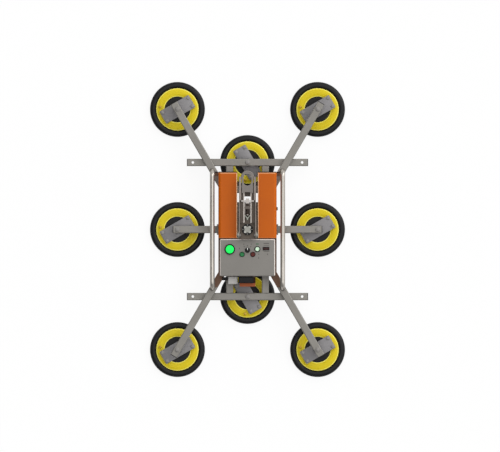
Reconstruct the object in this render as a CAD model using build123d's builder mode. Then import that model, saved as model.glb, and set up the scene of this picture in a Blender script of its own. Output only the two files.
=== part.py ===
from build123d import *
import math
import os

os.makedirs("parts", exist_ok=True)

# Vacuum lifter with eight suction cups, lying on its cups.
# X runs across the frame, Y along it towards the lifting eye, Z away from the load.
# The origin is on the suction plane, under the axis that the lifting arm slews about.

# Running and seating clearances
PIN_GAP = 0.05
SOFT_GAP = 0.3
BUTTON_GAP = 0.3

# Places of the eight suction cups
COLUMN_X = 385.0
CORNER_Y = 660.0
CENTRE_Y = 368.0
SIDE_PLATE_DEG = 30.0
CENTRE_PLATE_DEG = 120.0

# Rubber cup
CUP_R = 151.0
CUP_BEAD = 34.0
CUP_TOP_Z = 45.0
BEAD_SIDE_H = 2.0
LIP_W = 6.0
LIP_FLARE = 4.0
LIP_HEIGHT = 11.0
MEMBRANE_Z = 24.0
MEMBRANE_T = 8.0

# Ring plate vulcanised on the cup
RING_BORE_R = 71.0
RING_T = 8.0
RING_CHAMFER = 2.5
RING_MARGIN = 1.0

# Swivel plate that joins a cup to the frame
PLATE_L = 185.0
PLATE_W = 77.0
PLATE_T = 8.0
PLATE_CORNER_R = 5.0
PLATE_BOLT_X = 80.0
PLATE_BOLT_Y = 26.0
PLATE_BOLT_R = 5.0
PLATE_HEAD_R = 9.0
PLATE_HEAD_H = 6.0
BUFFER_R = 13.0
BUFFER_H = 14.0
HUB_R = 19.0
SWIVEL_R = 8.0
SWIVEL_HEAD_R = 11.5
SWIVEL_HEAD_H = 8.0
SWIVEL_NUT_H = 9.0
FITTING_R = 8.0
FITTING_H = 16.0
FITTING_PLACE_R = 96.0
FITTING_DEG = 142.0

# Square tube of the frame
TUBE = 40.0
TUBE_WALL = 3.0
TUBE_CORNER = 5.0
FRAME_Z = 80.0
CAP_T = 3.0
CAP_DEPTH = 12.0

# Ladder frame
RAIL_X = 98.0
CROSSBAR_L = 665.0
CROSSBAR_HOLE_INSET = 32.5
CROSSBAR_HOLE_R = 7.0
TOP_MEMBER_Y = 220.0
CARRIER_Y0 = -59.0
CARRIER_Y1 = 150.0
CARRIER_W = 136.0
CARRIER_T = 10.0
SLEEVE_OUT_X = 168.0
SLEEVE_W = 58.0
SLEEVE_T = 3.0
SLEEVE_CORNER = 2.0
MIDDLE_ARM_SETBACK = 15.0
ARM_OVERHANG = 40.0
CORNER_ARM_DEG = 59.8

# Push handles
HANDLE_X = 193.0
HANDLE_FOOT_Y = 320.0
HANDLE_R = 13.0
HANDLE_WALL = 2.5
HANDLE_BEND_R = 32.0
HANDLE_Z = 215.0

# Chassis plate and the two covers
CHASSIS_T = 4.0
CHASSIS_Y1 = 317.0
CHASSIS_TAB_X = 178.0
COVER_IN_X = 56.5
COVER_OUT_X = 159.5
COVER_Y0 = -47.0
COVER_Y1 = 311.0
COVER_H = 71.0
COVER_WALL = 2.0
COVER_ROUND = 16.0
COVER_EDGE_R = 3.0
SOCKET_Y = 114.0
SOCKET_R = 10.0
SOCKET_CAP_R = 8.0
SOCKET_T = 6.0

# Control box
BOX_GAP = 5.5
BOX_W = 302.0
BOX_L = 203.0
BOX_H = 62.0
BOX_WALL = 2.0
LID_H = 14.0
LID_WALL = 3.0
LID_ROUND = 7.0

# Controls, from the middle of the control box's upper edge
LAMP_X, LAMP_Y = -97.0, -108.5
LAMP_R = 22.5
LAMP_H = 12.0
LAMP_CROWN_R = 5.0
LAMP_BEZEL_R = 28.5
LAMP_BEZEL_H = 8.0
LAMP_BEZEL_CHAMFER = 2.0
KNOB_X, KNOB_Y = 0.0, -113.0
KNOB_R = 14.5
KNOB_H = 19.0
KNOB_BEZEL_H = 3.0
KNOB_SHAFT_R = 4.0
KNOB_SKIRT_R = 13.5
KNOB_SKIRT_H = 6.5
KNOB_GRIP_L = 26.0
KNOB_GRIP_W = 9.0
WHITE_X, WHITE_Y = 54.0, -107.0
WHITE_BEZEL_R = 16.5
GREEN_X, GREEN_Y = -29.5, -136.0
RED_X, RED_Y = 29.5, -136.0
BUTTON_R = 11.0
BUTTON_BEZEL_R = 14.5
BUTTON_BEZEL_H = 4.0
BUTTON_STAND = 3.5
BUTTON_TRAVEL = 3.0
BUTTON_EDGE = 1.2
PANEL_BACK_DEPTH = 8.0
SCREEN_X, SCREEN_Y = 101.5, -104.5
SCREEN_W, SCREEN_H = 36.0, 19.0
SCREEN_FRAME = 3.0
SCREEN_T = 2.5

# Battery, its tray and the valve block
BATTERY_X0, BATTERY_X1 = -49.0, 33.0
BATTERY_L = 35.0
BATTERY_H = 100.0
BATTERY_CAP_H = 6.0
BATTERY_CAP_INSET = 4.0
TRAY_W = 88.0
TRAY_T = 3.0
TRAY_Z = 122.0
TRAY_BACK_H = 70.0
TRAY_FRONT_H = 78.0
TRAY_LIP = 16.0
TRAY_LIP_W = 86.0
VALVE_X0, VALVE_X1 = -106.5, -53.5
VALVE_GAP = 3.0
VALVE_L = 41.0
VALVE_H = 70.0
VALVE_CHAMFER = 2.0
PORT_R = 9.0
PORT_SINK = 11.0
PORT_DROP = 13.0
PORT_L = 32.0

# Vacuum pump and reservoir under the covers
PUMP_MOTOR_R = 27.0
PUMP_MOTOR_L = 120.0
PUMP_HEAD_L = 95.0
PUMP_HEAD_W = 60.0
PUMP_LIFT = 4.0
PUMP_FOOT_L = 84.0
PUMP_FOOT_H = 8.0
TANK_R = 29.0
TANK_L = 300.0
TANK_LIFT = 2.0
SADDLE_W = 44.0
SADDLE_L = 14.0

# Slewing pedestal
PEDESTAL_FOOT = 96.0
PEDESTAL_FOOT_T = 12.0
PEDESTAL_R = 34.0
PEDESTAL_FLANGE_R = 44.0
PEDESTAL_FLANGE_T = 10.0
PEDESTAL_CORNER = 6.0
PEDESTAL_TOP_Z = 252.0
WASHER_T = 2.0
SPINDLE_R = 15.0
SPINDLE_NUT_R = 19.0
SPINDLE_NUT_H = 6.0

# Yoke, hub and lifting arm
YOKE_T = 12.0
YOKE_Y0, YOKE_Y1 = -52.0, 78.0
YOKE_CORNER = 8.0
REST_PAD_W = 19.5
REST_PAD_L = 12.0
REST_PAD_INSET = 9.0
EAR_IN_X = 47.5
EAR_T = 6.0
ARM_WALL_X = 46.5
ARM_WALL_T = 4.0
PIVOT_Y, PIVOT_Z = -30.0, 290.0
PIVOT_R = 6.0
PIVOT_HEAD_R = 9.0
PIVOT_HEAD_H = 5.0
EAR_R = 19.5
HUB_FLAT_W = 59.0
HUB_H = 14.0
HUB_CAP_W = 38.0
HUB_CAP_T = 4.0
HUB_CAP_CORNER = 4.0
HUB_LOBE_PLACE_R = 29.5
HUB_LOBE_R = 13.5
HUB_SCREW_PITCH = 27.5
HUB_SCREW_R = 3.0
HUB_SCREW_H = 2.0
HUB_RIM_SCREW_R = 2.5
HUB_RIM_SCREW_H = 1.5
HUB_RIM_SCREW_INSET = 5.0
HUB_GAP = 1.0
ARM_H = 40.0
ARM_END_Y = 288.0
FLOOR_Y0, FLOOR_Y1 = 36.0, 236.0
FLOOR_Z = 282.0
FLOOR_T = 6.0
SLOT_HALF = 17.0
SLOT_Y1 = 197.0
TONGUE_T = 4.0
TONGUE_SEAT = 6.0
SIDE_BAR_W = 7.5
SIDE_BAR_Y0 = 160.0
SIDE_BAR_H = 20.0
EYE_TOP_Y = 322.0
EYE_GROOVE = 5.0
EYE_ARCH = 6.0
EYE_Y0 = 199.0
EYE_T = 18.0
EYE_HOLE_W = 44.0
EYE_HOLE_L = 64.0
EYE_HOLE_Y = 272.0
EYE_CHAMFER = 2.0

# Tilt lock
ROD_R = 7.0
ROD_Y0 = 73.0
ROD_Z = 285.0
LOCK_BAR_Y = 156.0
LOCK_BAR_W = 8.0
LOCK_BAR_H = 8.0
LOCK_BLOCK_W = 19.0
LOCK_BLOCK_L = 27.0
LOCK_BLOCK_H = 22.0
LOCK_TRAVEL = 10.0
LOCK_END_GAP = 1.0
GUIDE_Y0, GUIDE_L = 112.0, 15.0
GUIDE_WALL = 4.0
COLLAR_R = 10.0
COLLAR_T = 4.0
SPRING_R = 9.0
SPRING_WIRE_R = 1.3
SPRING_L = 30.0
SPRING_TURNS = 6
SPRING_GAP = 0.02
CATCH_T = 20.0
CATCH_ARM = 7.0
CATCH_SIDE_GAP = 1.0

# Levels and places that follow from the sizes above
ring_z = MEMBRANE_Z + MEMBRANE_T
bead_side_z = MEMBRANE_Z + BEAD_SIDE_H
ring_r = CUP_R - CUP_BEAD
plate_z = ring_z + RING_T + BUFFER_H
plate_top = plate_z + PLATE_T
frame_top = FRAME_Z + TUBE
upper_top = frame_top + TUBE
chassis_top = upper_top + CHASSIS_T
crossbar_y = CENTRE_Y
crossbar_hole_x = CROSSBAR_L / 2 - CROSSBAR_HOLE_INSET
rail_end_y = crossbar_y - TUBE / 2
rail_face_x = RAIL_X - TUBE / 2
box_y1 = COVER_Y0 - BOX_GAP
inner_x = (COVER_IN_X + COVER_OUT_X) / 2
box_y0 = box_y1 - BOX_L
box_mid_y = (box_y0 + box_y1) / 2
lid_z = chassis_top + BOX_H
panel_z = lid_z + LID_H
yoke_z = PEDESTAL_TOP_Z + WASHER_T
yoke_top = yoke_z + YOKE_T
floor_top = FLOOR_Z + FLOOR_T
side_bar_x = ARM_WALL_X - ARM_WALL_T
eye_half = side_bar_x - SIDE_BAR_W
shank_half = eye_half - EYE_GROOVE


# Rubber cup: a crowned bead with two sealing lips under a flat membrane, in one revolve
with BuildPart() as seal:
    with BuildSketch(Plane.XZ):
        with BuildLine():
            inner_lip = ring_r + LIP_FLARE
            outer_lip = CUP_R - LIP_FLARE
            Polyline(
                (0, MEMBRANE_Z),
                (ring_r - MEMBRANE_T, MEMBRANE_Z),
                (inner_lip, 0),
                (inner_lip + LIP_W, 0),
                (inner_lip + LIP_W + LIP_FLARE, LIP_HEIGHT),
                (outer_lip - LIP_W - LIP_FLARE, LIP_HEIGHT),
                (outer_lip - LIP_W, 0),
                (outer_lip, 0),
                (CUP_R, LIP_HEIGHT),
                (CUP_R, bead_side_z),
            )
            ThreePointArc((CUP_R, bead_side_z), (CUP_R - CUP_BEAD / 2, CUP_TOP_Z), (ring_r, ring_z))
            Polyline((ring_r, ring_z), (0, ring_z), (0, MEMBRANE_Z))
        make_face()
    revolve(axis=Axis.Z)

# Ring plate: flat steel ring with both upper edges chamfered
with BuildPart() as ring:
    with BuildSketch(Plane.XY.offset(ring_z)):
        Circle(ring_r - RING_MARGIN)
        Circle(RING_BORE_R, mode=Mode.SUBTRACT)
    extrude(amount=RING_T)
    chamfer(ring.edges().group_by(Axis.Z)[-1], RING_CHAMFER)


def swivel_plate(hub_top):
    """Plate with a bored hub welded on it up to the frame, four bolts on rubber buffers and a hose fitting."""
    bolt_places = GridLocations(2 * PLATE_BOLT_X, 2 * PLATE_BOLT_Y, 2, 2)
    with BuildPart() as plate:
        with BuildSketch(Plane.XY.offset(plate_z)):
            RectangleRounded(PLATE_L, PLATE_W, PLATE_CORNER_R)
            Circle(SWIVEL_R + PIN_GAP, mode=Mode.SUBTRACT)
            with bolt_places:
                Circle(PLATE_BOLT_R, mode=Mode.SUBTRACT)
        extrude(amount=PLATE_T)
    with BuildPart() as hub:
        with BuildSketch(Plane.XY.offset(plate_top)):
            Circle(HUB_R)
            Circle(SWIVEL_R + PIN_GAP, mode=Mode.SUBTRACT)
        extrude(amount=hub_top - plate_top)
    with BuildPart() as buffers:
        with BuildSketch(Plane.XY.offset(ring_z + RING_T)):
            with bolt_places:
                Circle(BUFFER_R)
        extrude(amount=BUFFER_H)
    with BuildPart() as bolts:
        with BuildSketch(Plane.XY.offset(plate_z)):
            with bolt_places:
                Circle(PLATE_BOLT_R)
        extrude(amount=PLATE_T)
        with BuildSketch(Plane.XY.offset(plate_top)):
            with bolt_places:
                RegularPolygon(PLATE_HEAD_R, 6)
        extrude(amount=PLATE_HEAD_H)
    with BuildPart() as fitting:
        with BuildSketch(Plane.XY.offset(ring_z + RING_T)):
            with PolarLocations(FITTING_PLACE_R, 1, start_angle=FITTING_DEG):
                RegularPolygon(FITTING_R, 6)
        extrude(amount=FITTING_H)
    pieces = [plate.part, hub.part, *buffers.part.solids(), *bolts.part.solids(), fitting.part]
    return Compound(children=[Part(p.wrapped) for p in pieces])


# The eight cups: name, place, turn of the swivel plate and the underside that its hub meets
cup_table = []
for side, sign in (("left", -1), ("right", 1)):
    cup_table.append((f"upper_{side}", sign * COLUMN_X, CORNER_Y, SIDE_PLATE_DEG, frame_top))
    cup_table.append((f"middle_{side}", sign * COLUMN_X, 0, SIDE_PLATE_DEG, FRAME_Z))
    cup_table.append((f"lower_{side}", sign * COLUMN_X, -CORNER_Y, SIDE_PLATE_DEG, frame_top))
cup_table.append(("upper_centre", 0, CENTRE_Y, CENTRE_PLATE_DEG, FRAME_Z))
cup_table.append(("lower_centre", 0, -CENTRE_Y, CENTRE_PLATE_DEG, FRAME_Z))

swivel_bolts = []
for cup_name, cup_x, cup_y, turn, hub_top in cup_table:
    place = Location((cup_x, cup_y, 0), (0, 0, turn))
    for kind, shape in (("seal", seal.part), ("ring", ring.part), ("mount", swivel_plate(hub_top))):
        placed = shape.moved(place)
        placed.label = f"cup_{kind}_{cup_name}"
        export_step(placed, f"parts/cup_{kind}_{cup_name}.step")
    with BuildPart() as swivel_bolt:
        with BuildSketch(Plane.XY.offset(hub_top + TUBE)):
            RegularPolygon(SWIVEL_HEAD_R, 6)
        extrude(amount=SWIVEL_HEAD_H)
        with BuildSketch(Plane.XY.offset(plate_z - SWIVEL_NUT_H)):
            Circle(SWIVEL_R)
        extrude(amount=hub_top + TUBE - plate_z + SWIVEL_NUT_H)
        with BuildSketch(Plane.XY.offset(plate_z - SWIVEL_NUT_H)):
            RegularPolygon(SWIVEL_HEAD_R, 6)
        extrude(amount=SWIVEL_NUT_H - SOFT_GAP)
    swivel_bolts.append(swivel_bolt.part.moved(place))

bolts_group = Compound(children=[Part(b.wrapped) for b in swivel_bolts])
bolts_group.label = "cup_swivel_bolts"
export_step(bolts_group, "parts/cup_swivel_bolts.step")


def tube_section(plane):
    """Sketch of the square tube's wall on a plane."""
    with BuildSketch(plane) as section:
        RectangleRounded(TUBE, TUBE, TUBE_CORNER)
        RectangleRounded(
            TUBE - 2 * TUBE_WALL, TUBE - 2 * TUBE_WALL, TUBE_CORNER - TUBE_WALL, mode=Mode.SUBTRACT
        )
    return section.sketch


def end_cap(plane):
    """Plastic plug with a flat head that closes a tube's end; the plane's normal points out of the tube."""
    with BuildPart() as cap:
        with BuildSketch(plane):
            RectangleRounded(TUBE, TUBE, TUBE_CORNER)
        extrude(amount=CAP_T)
        with BuildSketch(plane):
            RectangleRounded(
                TUBE - 2 * TUBE_WALL, TUBE - 2 * TUBE_WALL, TUBE_CORNER - TUBE_WALL
            )
        extrude(amount=-CAP_DEPTH)
    return cap.part


caps = []
mid_z = FRAME_Z + TUBE / 2
upper_mid_z = frame_top + TUBE / 2

# Two crossbars with a bolt hole near each end, each bored in the middle for its cup's swivel bolt
crossbar_half = CROSSBAR_L / 2 - CAP_T
crossbars = []
for end, bar_y in (("upper", crossbar_y), ("lower", -crossbar_y)):
    start = Plane(origin=(-crossbar_half, bar_y, mid_z), x_dir=(0, 1, 0), z_dir=(1, 0, 0))
    with BuildPart() as crossbar:
        extrude(tube_section(start), amount=2 * crossbar_half)
        with BuildSketch(Plane.XY.offset(FRAME_Z)):
            with Locations((-crossbar_hole_x, bar_y), (crossbar_hole_x, bar_y)):
                Circle(CROSSBAR_HOLE_R)
            with Locations((0, bar_y)):
                Circle(SWIVEL_R)
        extrude(amount=TUBE, mode=Mode.SUBTRACT)
    crossbars.append(crossbar.part)
    caps.append(end_cap(Plane(origin=(crossbar_half, bar_y, mid_z), x_dir=(0, 1, 0), z_dir=(1, 0, 0))))
    caps.append(end_cap(Plane(origin=(-crossbar_half, bar_y, mid_z), x_dir=(0, 1, 0), z_dir=(-1, 0, 0))))
crossbar_pair = Compound(children=[Part(b.wrapped) for b in crossbars])
crossbar_pair.label = "crossbars"
export_step(crossbar_pair, "parts/crossbars.step")

# Welded ladder: two rails, three cross members, the bearing's carrier plate and the middle arms' sleeves
member_ys = (TOP_MEMBER_Y, CARRIER_Y1 - TUBE / 2, CARRIER_Y0 + TUBE / 2)
with BuildPart() as ladder:
    for rail_x in (-RAIL_X, RAIL_X):
        start = Plane(origin=(rail_x, -rail_end_y, mid_z), x_dir=(1, 0, 0), z_dir=(0, 1, 0))
        extrude(tube_section(start), amount=2 * rail_end_y)
    for member_y in member_ys:
        start = Plane(origin=(-rail_face_x, member_y, mid_z), x_dir=(0, 1, 0), z_dir=(1, 0, 0))
        extrude(tube_section(start), amount=2 * rail_face_x)
    with BuildSketch(Plane.XY.offset(frame_top)):
        with Locations((0, (CARRIER_Y0 + CARRIER_Y1) / 2)):
            Rectangle(CARRIER_W, CARRIER_Y1 - CARRIER_Y0)
    extrude(amount=CARRIER_T)
    for sign in (-1, 1):
        rail_outside = Plane(
            origin=(sign * (RAIL_X + TUBE / 2), 0, mid_z), x_dir=(0, 1, 0), z_dir=(sign, 0, 0)
        )
        with BuildSketch(rail_outside):
            RectangleRounded(SLEEVE_W, TUBE + 2 * SLEEVE_T, SLEEVE_CORNER)
            RectangleRounded(TUBE, TUBE, TUBE_CORNER, mode=Mode.SUBTRACT)
        extrude(amount=SLEEVE_OUT_X - RAIL_X - TUBE / 2)
ladder.part.label = "frame_ladder"
export_step(ladder.part, "parts/frame_ladder.step")

# Middle arms, seated in the sleeves against the rails
middle_arms = []
arm_inner_x = RAIL_X + TUBE / 2
arm_outer_x = COLUMN_X + ARM_OVERHANG - MIDDLE_ARM_SETBACK - CAP_T
for sign in (-1, 1):
    start = Plane(origin=(sign * arm_inner_x, 0, mid_z), x_dir=(0, 1, 0), z_dir=(sign, 0, 0))
    with BuildPart() as middle_arm:
        extrude(tube_section(start), amount=arm_outer_x - arm_inner_x)
        with BuildSketch(Plane.XY.offset(FRAME_Z)):
            with Locations((sign * COLUMN_X, 0)):
                Circle(SWIVEL_R)
        extrude(amount=TUBE, mode=Mode.SUBTRACT)
    middle_arms.append(middle_arm.part)
    caps.append(end_cap(Plane(origin=(sign * arm_outer_x, 0, mid_z), x_dir=(0, 1, 0), z_dir=(sign, 0, 0))))
arm_pair = Compound(children=[Part(a.wrapped) for a in middle_arms])
arm_pair.label = "middle_arms"
export_step(arm_pair, "parts/middle_arms.step")

# Corner arms: each runs from above a rail, over the crossbar, to just past its cup's swivel bolt
slope = math.radians(CORNER_ARM_DEG)
run = (COLUMN_X - RAIL_X) / math.cos(slope)
tab_x = COVER_OUT_X
tab_y = CORNER_Y - (COLUMN_X - tab_x) * math.tan(slope)
tab_reach = 2 * abs(CHASSIS_Y1 - tab_y) / math.sin(slope) + TUBE
for end, side, sign_x, sign_y in (
    ("upper", "left", -1, 1),
    ("upper", "right", 1, 1),
    ("lower", "left", -1, -1),
    ("lower", "right", 1, -1),
):
    along = (sign_x * math.cos(slope), sign_y * math.sin(slope), 0)
    across = (-along[1], along[0], 0)
    inner = (
        sign_x * COLUMN_X - run * along[0],
        sign_y * CORNER_Y - run * along[1],
        upper_mid_z,
    )
    length = run + ARM_OVERHANG - CAP_T
    outer = (inner[0] + length * along[0], inner[1] + length * along[1], upper_mid_z)
    with BuildPart() as corner_arm:
        extrude(tube_section(Plane(origin=inner, x_dir=across, z_dir=along)), amount=length)
        with BuildSketch(Plane.XY.offset(frame_top)):
            with Locations((sign_x * COLUMN_X, sign_y * CORNER_Y)):
                Circle(SWIVEL_R)
        extrude(amount=TUBE, mode=Mode.SUBTRACT)
    corner_arm.part.label = f"corner_arm_{end}_{side}"
    export_step(corner_arm.part, f"parts/corner_arm_{end}_{side}.step")
    caps.append(end_cap(Plane(origin=outer, x_dir=across, z_dir=along)))

cap_group = Compound(children=[Part(c.wrapped) for c in caps])
cap_group.label = "tube_end_caps"
export_step(cap_group, "parts/tube_end_caps.step")

# Push handles: round tube bent down at both ends onto the corner arms
for side, sign in (("left", -1), ("right", 1)):
    with BuildPart() as handle:
        with BuildLine():
            FilletPolyline(
                (sign * HANDLE_X, HANDLE_FOOT_Y, upper_top),
                (sign * HANDLE_X, HANDLE_FOOT_Y, HANDLE_Z),
                (sign * HANDLE_X, -HANDLE_FOOT_Y, HANDLE_Z),
                (sign * HANDLE_X, -HANDLE_FOOT_Y, upper_top),
                radius=HANDLE_BEND_R,
            )
        with BuildSketch(Plane.XY.offset(upper_top)):
            with Locations((sign * HANDLE_X, HANDLE_FOOT_Y)):
                Circle(HANDLE_R)
                Circle(HANDLE_R - HANDLE_WALL, mode=Mode.SUBTRACT)
        sweep()
    handle.part.label = f"{side}_handle"
    export_step(handle.part, f"parts/{side}_handle.step")

# Chassis plate: laser-cut sheet, slotted for the slewing pedestal, with a tab out along each corner arm
with BuildSketch() as tabs:
    for sign_x, sign_y in ((-1, 1), (1, 1), (-1, -1), (1, -1)):
        lean = sign_x * sign_y * CORNER_ARM_DEG
        with Locations(Location((sign_x * tab_x, sign_y * tab_y), lean)):
            Rectangle(tab_reach, TUBE)
    Rectangle(2 * CHASSIS_TAB_X, 2 * CHASSIS_Y1, mode=Mode.INTERSECT)
with BuildPart() as chassis:
    with BuildSketch(Plane.XY.offset(upper_top)):
        with Locations((0, (box_y0 + CHASSIS_Y1) / 2)):
            Rectangle(2 * COVER_OUT_X, CHASSIS_Y1 - box_y0)
        add(tabs.sketch)
        with Locations((0, (COVER_Y0 + CHASSIS_Y1) / 2)):
            Rectangle(2 * COVER_IN_X, CHASSIS_Y1 - COVER_Y0, mode=Mode.SUBTRACT)
    extrude(amount=CHASSIS_T)
chassis.part.label = "chassis_plate"
export_step(chassis.part, "parts/chassis_plate.step")

# Covers: folded sheet shells, open underneath, rounded along the outer top edge
cover_mid_y = (COVER_Y0 + COVER_Y1) / 2
for side, sign in (("left", -1), ("right", 1)):
    with BuildPart() as cover:
        with BuildSketch(Plane.XY.offset(chassis_top)):
            with Locations((sign * (COVER_IN_X + COVER_OUT_X) / 2, cover_mid_y)):
                Rectangle(COVER_OUT_X - COVER_IN_X, COVER_Y1 - COVER_Y0)
        extrude(amount=COVER_H)
        top_edges = cover.edges().group_by(Axis.Z)[-1].filter_by(Axis.Y)
        outer_edge = top_edges.sort_by(Axis.X)[-1 if sign > 0 else 0]
        fillet(outer_edge, COVER_ROUND)
        inner_edge = cover.edges().group_by(Axis.Z)[-1].filter_by(Axis.Y)
        fillet(inner_edge.sort_by(Axis.X)[0 if sign > 0 else -1], COVER_EDGE_R)
        offset(amount=-COVER_WALL, openings=cover.faces().sort_by(Axis.Z)[0])
    cover.part.label = f"{side}_cover"
    export_step(cover.part, f"parts/{side}_cover.step")

# Charging socket with its screwed cap, on the right cover's outer wall
with BuildPart() as socket:
    wall = Plane(origin=(COVER_OUT_X, SOCKET_Y, chassis_top + COVER_H / 2), x_dir=(0, 1, 0), z_dir=(1, 0, 0))
    with BuildSketch(wall):
        RegularPolygon(SOCKET_R, 6)
    extrude(amount=SOCKET_T / 2)
    with BuildSketch(wall.offset(SOCKET_T / 2)):
        Circle(SOCKET_CAP_R)
    extrude(amount=SOCKET_T / 2)
socket.part.label = "charging_socket"
export_step(socket.part, "parts/charging_socket.step")

# Vacuum pump under the left cover: a round motor against a finned head on its own foot
pump_z = chassis_top + PUMP_MOTOR_R + PUMP_LIFT
with BuildPart() as pump:
    with BuildSketch(Plane(origin=(-inner_x, cover_mid_y, pump_z), x_dir=(1, 0, 0), z_dir=(0, 1, 0))):
        Circle(PUMP_MOTOR_R)
    extrude(amount=PUMP_MOTOR_L)
    with BuildSketch(Plane.XY.offset(chassis_top)):
        with Locations((-inner_x, cover_mid_y - PUMP_HEAD_L / 2)):
            Rectangle(PUMP_HEAD_W, PUMP_HEAD_L)
    extrude(amount=2 * PUMP_MOTOR_R + PUMP_LIFT)
    with BuildSketch(Plane.XY.offset(chassis_top)):
        with Locations((-inner_x, cover_mid_y + PUMP_MOTOR_L / 2)):
            Rectangle(PUMP_MOTOR_R, PUMP_FOOT_L)
    extrude(amount=PUMP_FOOT_H)
pump.part.label = "vacuum_pump"
export_step(pump.part, "parts/vacuum_pump.step")

# Vacuum reservoir under the right cover: a domed cylinder on two saddles
with BuildPart() as tank:
    with BuildSketch(Plane(origin=(inner_x, cover_mid_y, chassis_top + TANK_R + TANK_LIFT), z_dir=(0, 0, 1))):
        RectangleRounded(2 * TANK_R, TANK_L, TANK_R - 1)
        with Locations((-TANK_R, 0)):
            Rectangle(2 * TANK_R, TANK_L, mode=Mode.SUBTRACT)
    revolve(axis=Axis((inner_x, cover_mid_y, chassis_top + TANK_R + TANK_LIFT), (0, 1, 0)))
    with BuildSketch(Plane.XY.offset(chassis_top)):
        with Locations(
            (inner_x, cover_mid_y - TANK_L / 4), (inner_x, cover_mid_y + TANK_L / 4)
        ):
            Rectangle(SADDLE_W, SADDLE_L)
    extrude(amount=TANK_R / 2)
tank.part.label = "vacuum_reservoir"
export_step(tank.part, "parts/vacuum_reservoir.step")

# Control box: sheet tray on the chassis plate
with BuildPart() as box:
    with BuildSketch(Plane.XY.offset(chassis_top)):
        with Locations((0, box_mid_y)):
            RectangleRounded(BOX_W, BOX_L, LID_ROUND)
    extrude(amount=BOX_H)
    offset(amount=-BOX_WALL, openings=box.faces().sort_by(Axis.Z)[-1])
box.part.label = "control_box"
export_step(box.part, "parts/control_box.step")

# Control panel: the box's pressed lid, round-edged, with the holes for its controls
with BuildPart() as panel:
    with BuildSketch(Plane.XY.offset(lid_z)):
        with Locations((0, box_mid_y)):
            RectangleRounded(BOX_W, BOX_L, LID_ROUND)
    extrude(amount=LID_H)
    fillet(panel.edges().group_by(Axis.Z)[-1], LID_ROUND - 1)
    offset(amount=-LID_WALL, openings=panel.faces().sort_by(Axis.Z)[0])
    with BuildSketch(Plane.XY.offset(panel_z)):
        with Locations((LAMP_X, LAMP_Y)):
            Circle(LAMP_R)
        with Locations((WHITE_X, WHITE_Y), (GREEN_X, GREEN_Y), (RED_X, RED_Y)):
            Circle(BUTTON_R + BUTTON_GAP)
        with Locations((KNOB_X, KNOB_Y)):
            Circle(KNOB_SHAFT_R + PIN_GAP)
        with Locations((SCREEN_X, SCREEN_Y)):
            Rectangle(SCREEN_W - 2 * SCREEN_FRAME, SCREEN_H - 2 * SCREEN_FRAME)
    extrude(amount=-LID_H, mode=Mode.SUBTRACT)
panel.part.label = "control_panel"
export_step(panel.part, "parts/control_panel.step")

# Bezels on the panel: rings round the lamp and the buttons, the knob's base and the display's frame
bezels = []
with BuildPart() as lamp_bezel:
    with BuildSketch(Plane.XY.offset(panel_z)):
        with Locations((LAMP_X, LAMP_Y)):
            Circle(LAMP_BEZEL_R)
            Circle(LAMP_R, mode=Mode.SUBTRACT)
    extrude(amount=LAMP_BEZEL_H)
    chamfer(lamp_bezel.edges().group_by(Axis.Z)[-1].sort_by(SortBy.LENGTH)[-1], LAMP_BEZEL_CHAMFER)
bezels.append(lamp_bezel.part)
for bezel_x, bezel_y, bezel_r in (
    (WHITE_X, WHITE_Y, WHITE_BEZEL_R),
    (GREEN_X, GREEN_Y, BUTTON_BEZEL_R),
    (RED_X, RED_Y, BUTTON_BEZEL_R),
):
    with BuildPart() as bezel:
        with BuildSketch(Plane.XY.offset(panel_z)):
            with Locations((bezel_x, bezel_y)):
                Circle(bezel_r)
                Circle(BUTTON_R + BUTTON_GAP, mode=Mode.SUBTRACT)
        extrude(amount=BUTTON_BEZEL_H)
        chamfer(bezel.edges().group_by(Axis.Z)[-1].sort_by(SortBy.LENGTH)[-1], BUTTON_EDGE)
    bezels.append(bezel.part)
with BuildPart() as knob_base:
    with BuildSketch(Plane.XY.offset(panel_z)):
        with Locations((KNOB_X, KNOB_Y)):
            Circle(KNOB_R)
            Circle(KNOB_SHAFT_R + PIN_GAP, mode=Mode.SUBTRACT)
    extrude(amount=KNOB_BEZEL_H)
bezels.append(knob_base.part)
with BuildPart() as screen:
    with BuildSketch(Plane.XY.offset(panel_z)):
        with Locations((SCREEN_X, SCREEN_Y)):
            Rectangle(SCREEN_W, SCREEN_H)
    extrude(amount=SCREEN_T)
    with BuildSketch(Plane.XY.offset(panel_z + SCREEN_T)):
        with Locations((SCREEN_X, SCREEN_Y)):
            Rectangle(SCREEN_W - 2 * SCREEN_FRAME, SCREEN_H - 2 * SCREEN_FRAME)
    extrude(amount=-SCREEN_T / 2, mode=Mode.SUBTRACT)
bezels.append(screen.part)
bezel_group = Compound(children=[Part(b.wrapped) for b in bezels])
bezel_group.label = "panel_bezels"
export_step(bezel_group, "parts/panel_bezels.step")

# Signal lamp: moulded lens with a rounded crown and its socket through the panel
with BuildPart() as lamp:
    with BuildSketch(Plane.XY.offset(panel_z - PANEL_BACK_DEPTH)):
        with Locations((LAMP_X, LAMP_Y)):
            Circle(LAMP_R)
    extrude(amount=PANEL_BACK_DEPTH + LAMP_H)
    fillet(lamp.edges().group_by(Axis.Z)[-1], LAMP_CROWN_R)
lamp.part.label = "signal_lamp"
export_step(lamp.part, "parts/signal_lamp.step")

# Push buttons: round caps that travel into their bezels
for name, button_x, button_y in (
    ("white", WHITE_X, WHITE_Y),
    ("green", GREEN_X, GREEN_Y),
    ("red", RED_X, RED_Y),
):
    with BuildPart() as button:
        with BuildSketch(Plane.XY.offset(panel_z - PANEL_BACK_DEPTH)):
            with Locations((button_x, button_y)):
                Circle(BUTTON_R)
        extrude(amount=PANEL_BACK_DEPTH + BUTTON_STAND + BUTTON_TRAVEL)
        fillet(button.edges().group_by(Axis.Z)[-1], BUTTON_EDGE)
    button.part.label = f"{name}_button"
    export_step(button.part, f"parts/{name}_button.step")

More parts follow.
